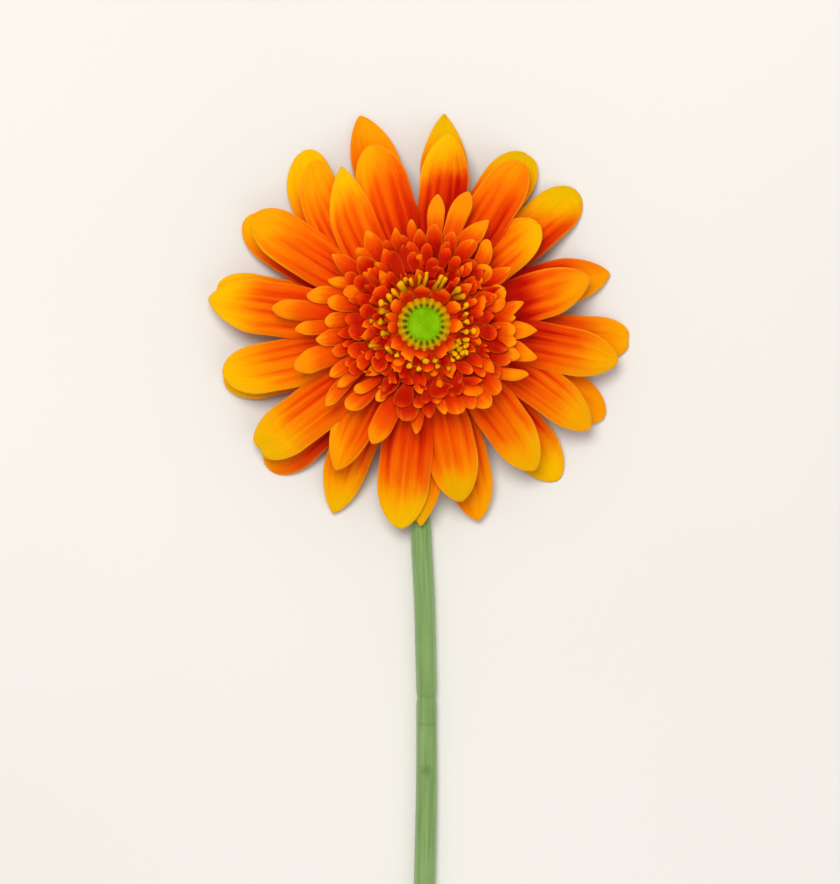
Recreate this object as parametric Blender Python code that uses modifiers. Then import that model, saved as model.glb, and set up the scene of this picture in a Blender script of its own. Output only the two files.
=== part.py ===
# Gerbera daisy: one cut flower laid on a flat surface, face up, with its stem along the surface.
# Metres, +Z up. The origin is on the surface, in the middle of the flower's footprint; the bloom faces
# up at its +Y end and the stem runs along -Y. The pieces are first shaped round the bloom's axis.
# Angles in the lists are degrees in plan, counter-clockwise from +X. Lengths there are millimetres.

import bmesh
import bpy
from math import cos, pi, radians, sin
from mathutils import Matrix, Vector

MM = 0.001

BLOOM_AT = Vector((1.1195 * MM, 96.992 * MM, 0))  # the bloom's axis, from the middle of the footprint

# Stem
STEM_LENGTH = 250 * MM       # from the middle of the bloom to the cut end
STEM_WIDE = 5.5 * MM         # diameter of the lower stem
STEM_NARROW = 4.9 * MM       # diameter just under the bloom
NECK_BEND = 7.5 * MM         # radius of the bend that turns the bloom face up
NECK_FLARE = 1.1             # how much wider the neck is where it meets the calyx
STEM_SWAY = [                # distance from the bloom, sideways shift, share of the width
    (30, -1.3, 0.98), (52, -0.9, 0.99), (71, 0.0, 1.0), (90, 0.5, 0.97), (97, 0.6, 0.88),
    (104, 0.6, 0.97), (122, 0.6, 1.0), (145, 0.1, 1.0), (175, -0.9, 1.0), (205, -1.6, 1.02),
    (235, -1.9, 1.05), (STEM_LENGTH / MM, -2.0, 1.06),
]

# Heights of the layers of the head
CALYX_BASE = 12.0 * MM       # underside of the green cup
CALYX_TOP = 19.0 * MM
PETAL_TOP = 23.0 * MM        # top of the ring that the ray petals grow from
OUTER_TOP = 25.6 * MM        # top of the ring that the outer florets grow from
INNER_TOP = 28.0 * MM        # top of the dome that the inner florets grow from
CENTRE_TOP = 29.7 * MM       # top of the green button
FIT_GAP = 0.3 * MM           # clear space between neighbouring pieces
PLUG_RADIUS = 7.0 * MM       # boss by which each layer sits in the one above it
PLUG_HEIGHT = 0.7 * MM

# Outer sides of the turned cores that the blades grow from, top to bottom: radius, height
PETAL_CORE = [(9.4, 23.0), (12.0, 22.4), (12.8, 21.0), (11.0, 19.6), (9.6, 19.3)]
OUTER_CORE = [(14.0, 25.6), (16.2, 24.8), (16.2, 23.7), (15.2, 23.3)]
INNER_CORE = [(9.4, 28.0), (12.6, 27.3), (14.6, 26.6), (15.0, 25.9)]
CALYX_CUP = [(9.4, 19.0), (9.3, 17.6), (7.6, 15.2), (5.2, 13.2), (3.2, 12.0)]

# Ray petals
PETAL_THICK = 0.75 * MM
PETAL_ROOT = 10.5 * MM       # distance of the petal roots from the axis
PETAL_ROOT_SHARE = 0.34      # width at the root, as a share of the widest place
PETAL_WIDENS = 0.75          # share of the part before the tip over which a petal widens
BACK_ROOT_Z = 20.3 * MM
FRONT_ROOT_Z = 22.0 * MM
STAGGER = 0.45 * MM          # every second petal of a row roots this much higher, the others lower
RIB_HEIGHT = 0.4 * MM
TIP_POINTED = 15.0 * MM      # length over which a pointed petal closes
TIP_BLUNT = 9.5 * MM         # the same for a blunt one
PETAL_BODY = 4 / 7           # share of a petal's rows that lie before its tip
NOTCH = 2.2 * MM

# The petals: root angle, tip angle, reach, width, bluntness 0 to 1, notch 0 to 1, tip height
BACK_PETALS = [
    (20, 16.2, 50.6, 12.3, 0.4, 0.0, 1.3), (41.5, 41.2, 53.6, 12.5, 1.0, 0.0, 0.5),
    (62, 59.0, 52.9, 13.4, 1.0, 0.4, 1.6), (80, 84.6, 56.1, 12.6, 0.05, 0.0, 0.9),
    (106, 106.8, 57.8, 12.4, 0.3, 0.0, 1.4), (139, 125.3, 56.0, 13.7, 1.0, 0.0, 0.5),
    (152, 149.4, 54.8, 12.6, 0.9, 0.0, 1.2), (170.5, 169.2, 55.3, 11.3, 0.9, 0.0, 0.5),
    (197.5, 195.7, 54.4, 12.4, 0.9, 0.0, 0.9), (222, 222.2, 55.2, 13.2, 0.95, 0.0, 0.5),
    (236, 243.8, 54.2, 11.7, 0.35, 0.0, 1.6), (270.5, 269, 52, 10.5, 0.1, 0.0, 7.2),
    (288.5, 285.8, 52.6, 11.8, 0.5, 0.0, 3.0), (314.5, 311.6, 53.3, 12.8, 0.7, 0.0, 0.5),
    (336.5, 333.7, 52.8, 12.3, 0.75, 0.0, 1.2), (355, 356.4, 54.3, 11.6, 1.0, 0.3, 0.5),
]
FRONT_PETALS = [
    (13.5, 16.2, 44.8, 12.5, 0.5, 0.0, 9.0), (43.5, 42.0, 39.9, 12.2, 0.9, 0.0, 11.5),
    (60.5, 59.2, 50, 12, 0.8, 0.0, 8.0), (81, 82.8, 50.5, 12.0, 0.2, 0.0, 8.0),
    (106, 106.3, 49.2, 13.3, 0.75, 0.0, 8.5), (130.5, 117.6, 46.7, 12.3, 0.1, 0.0, 11.0),
    (139, 124.4, 52, 11.7, 0.9, 0.0, 6.5), (149, 147, 53.1, 12.8, 0.8, 0.0, 7.0),
    (174.5, 172.7, 56.8, 14, 0.4, 0.0, 5.5), (197, 193.4, 54, 13, 0.9, 0.0, 6.0),
    (217.3, 216.9, 54.6, 13.4, 0.9, 0.5, 5.5), (230.5, 238.4, 43.9, 11.2, 0.4, 0.0, 11.5),
    (261.3, 263.1, 53.1, 13.5, 0.6, 0.0, 8.0), (282.5, 281.8, 46.6, 12.9, 0.6, 0.0, 10.5),
    (311.8, 307.8, 47.3, 12.3, 0.6, 0.0, 9.0), (335.5, 328.7, 50.8, 11.4, 0.6, 0.0, 7.5),
    (350.5, 350.0, 51.4, 12.3, 0.6, 0.0, 7.0),
]

# Outer florets
FLORET_THICK = 0.65 * MM
FLORET_ROOT = 14.6 * MM
FLORET_ROOT_Z = (24.1, 24.8)  # lowest and highest root
FLORET_TIP_Z = 27.2          # height of the tip of a floret that reaches no further than
FLORET_NEAR = 25.0           # this distance;
FLORET_FALL = 0.42           # each millimetre beyond lowers the tip by this
FLORET_TIP_SPREAD = (-0.5, 0.4)
FLORET_ARCH = 0.5 * MM

# The outer florets: root angle, tip angle, reach, width
OUTER_FLORETS = [
    (3.5, 3.5, 23.5, 3.6), (6, 12.1, 26.1, 5.2), (22, 23.1, 22.6, 5.4), (34, 33.7, 26.5, 4.2),
    (41.5, 42.4, 22.4, 5.0), (44.2, 52.5, 27.3, 4.0), (63, 60.2, 25.1, 4.6), (66, 58.5, 31.6, 5.5),
    (71.1, 73, 24.9, 3.6), (74.7, 71.5, 36.1, 5.2), (83.2, 84.1, 26, 4.4), (83.5, 84.1, 33.7, 4.3),
    (93, 93, 24.5, 3.4), (98.5, 97, 27.2, 2.4), (103.8, 103.8, 23.6, 3.2), (111.4, 106.6, 25.9, 3.4),
    (116, 115, 23.8, 3.6), (124, 121.7, 28.3, 5.5), (131, 131.5, 26, 3.0), (135.2, 134.5, 24.2, 5.5),
    (143, 142.8, 29.8, 4.8), (148.8, 155.2, 27.1, 3.0), (151, 147, 24, 3.8), (158.8, 165.8, 31.1, 4.3),
    (165, 166.3, 25.5, 4.1), (172.6, 173.6, 39.5, 5.2), (175.5, 177.8, 25.5, 4.0),
    (180.8, 181.8, 33.2, 3.7), (187.4, 187.9, 28.1, 4.6), (196.8, 198.2, 35.2, 6.2),
    (196.8, 197.2, 24.6, 3.4), (206, 208.5, 27.6, 3.8), (213, 219.5, 32.8, 4.2), (215, 215.7, 27.3, 2.8),
    (230.5, 227.8, 29.3, 4.5), (230.7, 223.8, 24.7, 3.4), (239, 238.6, 23, 2.6),
    (248.3, 246.4, 33.4, 6.0), (259, 258.8, 25.2, 6.0), (266, 265.8, 28.1, 3.0), (273, 273, 24, 4.0),
    (283, 283, 23.6, 4.0), (291, 291.8, 24.6, 6.0), (300.5, 300.5, 25, 4.5), (304.8, 308.5, 27, 6.0),
    (319, 318.6, 26, 4.2), (323, 334.3, 29.7, 3.8), (326, 326, 23.5, 3.8), (337.5, 337.5, 24, 4.2),
    (342, 342.3, 25.7, 4.8), (345, 343.6, 30.2, 5.2), (348.6, 348.6, 24, 3.6), (356, 357, 29, 5.0),
    (356.4, 356.4, 23.4, 4.4),
]

# Inner florets: root distance and height, reach and tip height, number and width in each ring
INNER_RINGS = [(13.6, 26.5, 21.2, 28.2, 22, 4.2), (12.0, 26.9, 17.8, 29.2, 20, 3.9),
               (9.8, 27.2, 14.6, 30.0, 17, 3.5)]

# Middle of the bloom
BUTTON_RADIUS = 4.4 * MM
DISC_FLORETS = 20
DISC_FLORET_WIDE = 1.4 * MM
DISC_FOOT = 5.1 * MM         # distance of their feet from the axis
DISC_REACH = 6.2 * MM        # the same of the middle of their tips, and the radius of the disc's foot
COLLAR_PETALS = 14
COLLAR_WIDE = 3.0 * MM
COLLAR_ROOT = 7.7 * MM
COLLAR_REACH = (9.1, 10.0)
COLLAR_TIP_Z = (30.4, 31.2)
COLLAR_RING = (7.2 * MM, 9.2 * MM)
STAMENS = 36
STAMEN_WIDE = 1.2 * MM
STAMEN_FOOT = 10.2 * MM
STAMEN_REACH = (10.4, 12.9)
STAMEN_TIP_Z = (30.6, 31.6)
STAMEN_RING = (9.6 * MM, 10.9 * MM)
RING_HEIGHT = 0.8 * MM       # of the rings that carry the collar petals and the stamens
SEAT = 0.4 * MM              # how deep their feet sit in what carries them

# Bracts of the calyx: root distance and height, reach and tip height, how many
BRACT_WIDE = 4.0 * MM
BRACT_ARCH = -0.45 * MM
BRACT_ROWS = [(3.4, 13.1, 8.4, 15.9, 11), (5.8, 14.6, 10.4, 17.4, 13)]

GOLDEN = 0.618034            # share of a turn that spreads a series evenly


def spread(index, low, high):
    # An even scatter between two values that never repeats from one piece to the next
    return low + (high - low) * (index * GOLDEN % 1.0)


def material(name, color, roughness):
    mat = bpy.data.materials.new(name)
    mat.use_nodes = True
    shader = mat.node_tree.nodes["Principled BSDF"]
    shader.inputs["Base Color"].default_value = (*color, 1)
    shader.inputs["Roughness"].default_value = roughness
    shader.inputs["Metallic"].default_value = 0.0
    mat.diffuse_color = (*color, 1)
    return mat


def make_object(name, bm, collection, mat=None):
    mesh = bpy.data.meshes.new(name)
    bm.to_mesh(mesh)
    bm.free()
    obj = bpy.data.objects.new(name, mesh)
    if mat:
        mesh.materials.append(mat)
    collection.objects.link(obj)
    return obj


def evaluated_mesh(obj):
    depsgraph = bpy.context.evaluated_depsgraph_get()
    return bpy.data.meshes.new_from_object(obj.evaluated_get(depsgraph))


def blade(name, surface, along, across, thick, collection):
    # A thin blade: a flat grid bent to surface(u, v), split into triangles, then given its thickness
    bm = bmesh.new()
    bmesh.ops.create_grid(bm, x_segments=along, y_segments=across, size=1)
    for vert in bm.verts:
        vert.co = surface(vert.co.y, (vert.co.x + 1) / 2)
    bmesh.ops.triangulate(bm, faces=bm.faces)
    obj = make_object(name, bm, collection)
    solid = obj.modifiers.new("thickness", "SOLIDIFY")
    solid.thickness = thick
    solid.offset = 0
    return obj


def turned(name, profile, collection, mat, steps=24):
    # A solid of revolution; the profile runs from the top, outwards and down, and a ring's closes up
    bm = bmesh.new()
    verts = [bm.verts.new((r, 0, z)) for r, z in profile]
    if profile[0][0] > 0:
        verts.append(verts[0])
    for start, end in zip(verts, verts[1:]):
        bm.edges.new((start, end))
    obj = make_object(name, bm, collection, mat)
    screw = obj.modifiers.new("turn", "SCREW")
    screw.steps = steps
    screw.render_steps = steps
    screw.use_merge_vertices = True
    screw.merge_threshold = 0.00001
    return obj


def keep_largest_shell(mesh):
    # Fill hollows that the joining sealed and drop loose scraps: only the outer shell stays
    bm = bmesh.new()
    bm.from_mesh(mesh)
    waiting = set(bm.faces)
    shells = []
    while waiting:
        shell = {waiting.pop()}
        edge_of_shell = list(shell)
        while edge_of_shell:
            face = edge_of_shell.pop()
            for edge in face.edges:
                for other in edge.link_faces:
                    if other in waiting:
                        waiting.remove(other)
                        shell.add(other)
                        edge_of_shell.append(other)
        shells.append(shell)
    shells.sort(key=len)
    print(mesh.name, "shells of", [len(shell) for shell in shells], "faces")
    for shell in shells[:-1]:
        bmesh.ops.delete(bm, geom=list(shell), context="FACES")
    bm.to_mesh(mesh)
    bm.free()


def fused(core, repeats):
    # One solid from the core and everything in the collection of repeats
    union = core.modifiers.new("grown together", "BOOLEAN")
    union.operation = "UNION"
    union.operand_type = "COLLECTION"
    union.collection = repeats
    union.solver = "MANIFOLD"
    mesh = evaluated_mesh(core)
    keep_largest_shell(mesh)
    core.modifiers.clear()
    core.data = mesh
    for obj in list(repeats.objects):
        bpy.data.objects.remove(obj)
    bpy.data.collections.remove(repeats)
    mesh.shade_smooth()
    mesh.set_sharp_from_angle(angle=radians(40))
    return core


def repeats_for(name):
    repeats = bpy.data.collections.new(name)
    bpy.context.scene.collection.children.link(repeats)
    return repeats


def polar(radius, degrees, height):
    return Vector((radius * cos(radians(degrees)), radius * sin(radians(degrees)), height))


def smooth_step(low, high, value):
    share = min(max((value - low) / (high - low), 0.0), 1.0)
    return share * share * (3 - 2 * share)


def in_mm(profile):
    return [(radius * MM, height * MM) for radius, height in profile]


def outline(v, body, length, tip_length, blunt, root_share, widens):
    # Distance from the root and half width, as a share of the widest place, at v along a blade.
    # The rows up to body share the widening part; the rest close round the tip like a quarter turn,
    # which stops a little short, so that the tip stays a narrow edge and not a point.
    if v <= body:
        share = v / body
        return (length - tip_length) * share, root_share + (1 - root_share) * smooth_step(-0.2, widens, share)
    last_turn = radians(80)
    rise = sin(last_turn * (v - body) / (1 - body)) / sin(last_turn)
    closing = (1 - (0.985 * rise) ** (1.7 + 0.4 * blunt)) ** (0.85 - 0.37 * blunt)
    return length - tip_length + tip_length * rise, closing


def petal_surface(spec, row_height, root_z):
    # The middle surface of one ray petal, u across from -1 to 1 and v along from 0 to 1
    root_angle, tip_angle, reach, width, blunt, notch, tip_z = spec
    length = reach * MM - PETAL_ROOT
    tip_length = TIP_POINTED + (TIP_BLUNT - TIP_POINTED) * blunt

    def surface(u, v):
        along, wide = outline(v, PETAL_BODY, length, tip_length, blunt, PETAL_ROOT_SHARE, PETAL_WIDENS)
        share = along / length
        notch_depth = NOTCH * notch * cos(pi * u / 2) ** 2 * smooth_step(0.8, 1, share)
        radius = PETAL_ROOT + along - notch_depth
        angle = radians(root_angle + (tip_angle - root_angle) * share ** 1.5)
        ribs = RIB_HEIGHT * (cos(2 * pi * u) - 1.6 * abs(u) ** 3) * smooth_step(0.0, 0.3, share)
        ribs *= 1 - 0.7 * smooth_step(0.75, 1, share)
        height = root_z + (tip_z * MM - root_z) * row_height(share) + ribs
        side = u * width * MM / 2 * wide
        out = Vector((cos(angle), sin(angle), 0))
        return out * radius + Vector((-out.y, out.x, 0)) * side + Vector((0, 0, height))

    return surface


def back_row_height(share):
    return 0.7 * share + 0.3 * smooth_step(0, 1, share)


def front_row_height(share):
    return share ** 1.5


def ray_petals(model):
    repeats = repeats_for("ray petals to join")
    for i, spec in enumerate(BACK_PETALS):
        surface = petal_surface(spec, back_row_height, BACK_ROOT_Z + STAGGER * (-1) ** i)
        blade(f"back petal {i}", surface, 7, 4, PETAL_THICK, repeats)
    for i, spec in enumerate(FRONT_PETALS):
        surface = petal_surface(spec, front_row_height, FRONT_ROOT_Z + STAGGER * (-1) ** i)
        blade(f"front petal {i}", surface, 7, 4, PETAL_THICK, repeats)
    plug = PETAL_TOP + PLUG_HEIGHT
    profile = [(0, plug), (PLUG_RADIUS, plug), (PLUG_RADIUS, PETAL_TOP), *in_mm(PETAL_CORE),
               (0, CALYX_TOP + FIT_GAP)]
    core = turned("ray_petals", profile, model, material("petal orange", (1.0, 0.3, 0.01), 0.55))
    return fused(core, repeats)


def floret_surface(root_angle, tip_angle, root, reach, width, root_z, tip_z, arch):
    # A short spoon-shaped floret that rises from its root and curls at the tip
    length = reach - root

    def surface(u, v):
        along, wide = outline(v, 0.5, length, min(1.1 * width, 0.6 * length), 0.5, 0.5, 1.0)
        share = along / length
        out = polar(1, root_angle + (tip_angle - root_angle) * share ** 1.5, 0)
        height = root_z + (tip_z - root_z) * share ** 1.2 + arch * sin(pi * share)
        side = u * width / 2 * wide
        return out * (root + along) + Vector((-out.y, out.x, 0)) * side + Vector((0, 0, height))

    return surface


def socket(base):
    # The end of a core's profile, round the boss of the layer below it
    radius = PLUG_RADIUS + FIT_GAP
    return [(radius, base), (radius, base + PLUG_HEIGHT), (0, base + PLUG_HEIGHT)]


def outer_florets(model):
    repeats = repeats_for("outer florets to join")
    for i, (root_angle, tip_angle, reach, width) in enumerate(OUTER_FLORETS):
        tip_z = FLORET_TIP_Z - FLORET_FALL * max(reach - FLORET_NEAR, 0.0) + spread(i, *FLORET_TIP_SPREAD)
        root_z = spread(2 * i, *FLORET_ROOT_Z)
        surface = floret_surface(root_angle, tip_angle, FLORET_ROOT, reach * MM, width * MM,
                                 root_z * MM, tip_z * MM, FLORET_ARCH)
        blade(f"outer floret {i}", surface, 4, 1, FLORET_THICK, repeats)
    base = PETAL_TOP + FIT_GAP
    plug = OUTER_TOP + PLUG_HEIGHT
    profile = [(0, plug), (PLUG_RADIUS, plug), (PLUG_RADIUS, OUTER_TOP), *in_mm(OUTER_CORE), *socket(base)]
    core = turned("outer_florets", profile, model, material("floret amber", (1.0, 0.38, 0.02), 0.55))
    return fused(core, repeats)


def inner_florets(model):
    repeats = repeats_for("inner florets to join")
    count = 0
    for ring, (root, root_z, reach, tip_z, number, width) in enumerate(INNER_RINGS):
        for i in range(number):
            angle = 360 * (i + 0.37 * ring) / number + spread(count, -4, 4)
            far = reach + spread(count + 5, -1.0, 1.0)
            high = tip_z + spread(count + 9, -0.35, 0.35)
            surface = floret_surface(angle, angle, root * MM, far * MM, width * MM, root_z * MM,
                                     high * MM, 0)
            blade(f"inner floret {count}", surface, 2, 1, FLORET_THICK, repeats)
            count += 1
    profile = [(0, INNER_TOP), *in_mm(INNER_CORE), *socket(OUTER_TOP + FIT_GAP)]
    core = turned("inner_florets", profile, model, material("floret red", (0.85, 0.09, 0.005), 0.55))
    return fused(core, repeats)


def carrier_ring(radii, low):
    # Profile of a low square ring
    inside, outside = radii
    high = low + RING_HEIGHT
    return [(outside, high), (outside, low), (inside, low), (inside, high)]


def rod(name, foot, tip, thick, sides, collection):
    # A slim rod with a wider end, standing from foot to tip
    bm = bmesh.new()
    axis = tip - foot
    bmesh.ops.create_cone(bm, cap_ends=True, segments=sides, radius1=thick * 0.36, radius2=thick / 2,
                          depth=axis.length)
    turn = Vector((0, 0, 1)).rotation_difference(axis).to_matrix().to_4x4()
    turn.translation = (foot + tip) / 2
    bm.transform(turn)
    return make_object(name, bm, collection)


def stamens(model):
    repeats = repeats_for("stamens to join")
    low = INNER_TOP + FIT_GAP
    for i in range(STAMENS):
        angle = 360 * i / STAMENS + spread(i, -3, 3)
        foot = polar(STAMEN_FOOT, angle, low + SEAT)
        tip = polar(spread(i + 3, *STAMEN_REACH) * MM, angle + spread(i + 7, -4, 4),
                    spread(i, *STAMEN_TIP_Z) * MM)
        rod(f"stamen {i}", foot, tip, STAMEN_WIDE, 4, repeats)
    core = turned("stamens", carrier_ring(STAMEN_RING, low), model,
                  material("stamen yellow", (0.9, 0.5, 0.01), 0.5), steps=30)
    return fused(core, repeats)


def collar(model):
    repeats = repeats_for("collar petals to join")
    low = INNER_TOP + FIT_GAP
    for i in range(COLLAR_PETALS):
        angle = 360 * i / COLLAR_PETALS + spread(i, -5, 5)
        surface = floret_surface(angle, angle, COLLAR_ROOT, spread(i, *reversed(COLLAR_REACH)) * MM,
                                 COLLAR_WIDE, low + SEAT, spread(i + 4, *COLLAR_TIP_Z) * MM, 0)
        blade(f"collar petal {i}", surface, 2, 1, FLORET_THICK, repeats)
    core = turned("collar_petals", carrier_ring(COLLAR_RING, low), model,
                  material("collar orange", (0.95, 0.25, 0.01), 0.55))
    return fused(core, repeats)


def disc(model):
    # The green button in its ring of unopened yellow-green florets
    repeats = repeats_for("disc florets to join")
    low = INNER_TOP + FIT_GAP
    for i in range(DISC_FLORETS):
        angle = 360 * i / DISC_FLORETS
        foot = polar(DISC_FOOT, angle, low + SEAT)
        tip = polar(DISC_REACH, angle, CENTRE_TOP + spread(i, 0.3, 0.7) * MM)
        rod(f"disc floret {i}", foot, tip, DISC_FLORET_WIDE, 5, repeats)
    profile = [(0, CENTRE_TOP), (2.0 * MM, CENTRE_TOP - 0.05 * MM), (3.6 * MM, CENTRE_TOP - 0.3 * MM),
               (BUTTON_RADIUS, CENTRE_TOP - 0.9 * MM), (BUTTON_RADIUS, low + 0.9 * MM),
               (DISC_REACH, low + 0.7 * MM), (DISC_REACH, low), (0, low)]
    core = turned("disc", profile, model, material("button green", (0.2, 0.46, 0.01), 0.5))
    return fused(core, repeats)


def calyx(model):
    # The green cup under the bloom, wrapped in rows of pointed bracts
    repeats = repeats_for("bracts to join")
    count = 0
    for row, (root, root_z, reach, tip_z, number) in enumerate(BRACT_ROWS):
        for i in range(number):
            angle = 360 * (i + 0.5 * row) / number + spread(count, -3, 3)
            surface = floret_surface(angle, angle, root * MM, reach * MM, BRACT_WIDE, root_z * MM,
                                     tip_z * MM, BRACT_ARCH)
            blade(f"bract {count}", surface, 2, 1, FLORET_THICK, repeats)
            count += 1
    profile = [(0, CALYX_TOP), *in_mm(CALYX_CUP), (0, CALYX_BASE)]
    core = turned("calyx", profile, model, material("calyx green", (0.12, 0.26, 0.06), 0.6))
    return fused(core, repeats)


def stem_path(top):
    # Points of the middle line, each with its share of the lower stem's width
    rest = STEM_WIDE / 2
    narrow = STEM_NARROW / STEM_WIDE
    points = [(Vector((0, 0, top)), narrow * NECK_FLARE), (Vector((0, 0, rest + NECK_BEND)), narrow)]
    for step in range(1, 7):
        turn = radians(15 * step)
        arc = Vector((0, -NECK_BEND * (1 - cos(turn)), rest + NECK_BEND * (1 - sin(turn))))
        points.append((arc, narrow))
    for away, shift, share in STEM_SWAY:
        points.append((Vector((shift * MM, -away * MM, rest * share)), share))
    return points


def stem(model, top):
    curve = bpy.data.curves.new("stem", "CURVE")
    curve.dimensions = "3D"
    curve.bevel_depth = STEM_WIDE / 2
    curve.bevel_resolution = 3
    curve.use_fill_caps = True
    line = curve.splines.new("POLY")
    points = stem_path(top)
    line.points.add(len(points) - 1)
    for spot, (place, share) in zip(line.points, points):
        spot.co = (*place, 1)
        spot.radius = share
    tube = bpy.data.objects.new("stem tube", curve)
    model.objects.link(tube)
    mesh = evaluated_mesh(tube)
    bm = bmesh.new()
    bm.from_mesh(mesh)
    bmesh.ops.remove_doubles(bm, verts=bm.verts, dist=0.00001)
    bpy.data.objects.remove(tube)
    obj = make_object("stem", bm, model, material("stem green", (0.2, 0.34, 0.11), 0.6))
    obj.data.shade_smooth()
    obj.data.set_sharp_from_angle(angle=radians(40))
    return obj


def lowest_point(obj):
    return min(vert.co.z for vert in obj.data.vertices)


def settle(pieces, sole):
    # Move the pieces together until the lowest point of the sole touches the surface
    drop = lowest_point(sole)
    for piece in pieces:
        for vert in piece.data.vertices:
            vert.co.z -= drop
    print("settled by", round(drop / MM, 3), "mm")


def main():
    for obj in list(bpy.data.objects):
        bpy.data.objects.remove(obj)
    model = bpy.data.collections.new("Gerbera daisy")
    bpy.context.scene.collection.children.link(model)
    petals = ray_petals(model)
    cup = calyx(model)
    head = [petals, cup, outer_florets(model), inner_florets(model), stamens(model), collar(model),
            disc(model)]
    settle(head, petals)
    stalk = stem(model, lowest_point(cup) - FIT_GAP)
    settle([stalk], stalk)
    for piece in head + [stalk]:
        piece.data.transform(Matrix.Translation(BLOOM_AT))


main()
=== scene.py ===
from math import atan2, cos, exp, hypot, pi, radians, sin

import bmesh
import bpy
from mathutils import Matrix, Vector, noise


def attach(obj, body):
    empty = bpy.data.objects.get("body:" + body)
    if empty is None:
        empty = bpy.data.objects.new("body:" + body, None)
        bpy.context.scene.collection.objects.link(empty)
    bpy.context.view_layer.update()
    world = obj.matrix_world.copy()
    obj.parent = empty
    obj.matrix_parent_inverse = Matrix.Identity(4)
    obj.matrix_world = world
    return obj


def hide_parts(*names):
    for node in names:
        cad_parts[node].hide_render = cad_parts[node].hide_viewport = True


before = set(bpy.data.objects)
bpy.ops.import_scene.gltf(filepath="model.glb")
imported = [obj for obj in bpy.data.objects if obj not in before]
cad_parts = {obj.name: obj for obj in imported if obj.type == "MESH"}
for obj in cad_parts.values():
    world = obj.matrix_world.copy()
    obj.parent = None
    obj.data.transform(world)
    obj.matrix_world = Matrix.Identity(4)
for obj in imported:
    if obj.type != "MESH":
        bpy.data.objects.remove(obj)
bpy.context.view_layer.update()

# Lengths in this file are millimetres round the bloom's axis, angles are degrees in plan, counter-clockwise
# from +X. place() turns such a point into the frame's metres.
mm = 0.001
bloomAxis = Vector((1.1195, 96.992, 0))
golden = 0.618034


def place(point):
    return (Vector(point) + bloomAxis) * mm


def spread(index, low, high):
    # An even scatter between two values, the same on every run
    return low + (high - low) * (index * golden % 1.0)


def smoothStep(low, high, value):
    share = min(max((value - low) / (high - low), 0.0), 1.0)
    return share * share * (3 - 2 * share)


def polar(radius, angle, height=0.0):
    return Vector((radius * cos(radians(angle)), radius * sin(radians(angle)), height))


def lit(hexColour):
    # A colour written as on a screen, as the linear values that a shader takes
    parts = [int(hexColour[i:i + 2], 16) / 255 for i in (0, 2, 4)]
    return tuple(p / 12.92 if p <= 0.04045 else ((p + 0.055) / 1.055) ** 2.4 for p in parts) + (1.0,)


# Node graphs, for shaders and geometry alike


class Wire:
    # One output of a node. Sums and products of wires and numbers add their Math nodes

    def __init__(self, graph, socket):
        self.graph = graph
        self.socket = socket

    def math(self, operation, first, second=0.0):
        return self.graph.add("ShaderNodeMath", {"operation": operation}, {0: first, 1: second})

    def __add__(self, other):
        return self.math("ADD", self, other)

    def __radd__(self, other):
        return self.math("ADD", other, self)

    def __sub__(self, other):
        return self.math("SUBTRACT", self, other)

    def __rsub__(self, other):
        return self.math("SUBTRACT", other, self)

    def __mul__(self, other):
        return self.math("MULTIPLY", self, other)

    def __rmul__(self, other):
        return self.math("MULTIPLY", other, self)

    def __pow__(self, other):
        return self.math("POWER", self, other)

    def __abs__(self):
        return self.math("ABSOLUTE", self)

    def larger(self, other):
        return self.math("MAXIMUM", self, other)

    def step(self, low, high, fromValue=0.0, toValue=1.0):
        # Rises smoothly from one value to the other as this wire goes from low to high
        return self.graph.add("ShaderNodeMapRange", {"interpolation_type": "SMOOTHSTEP"},
                              {0: self, 1: low, 2: high, 3: fromValue, 4: toValue})


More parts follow.
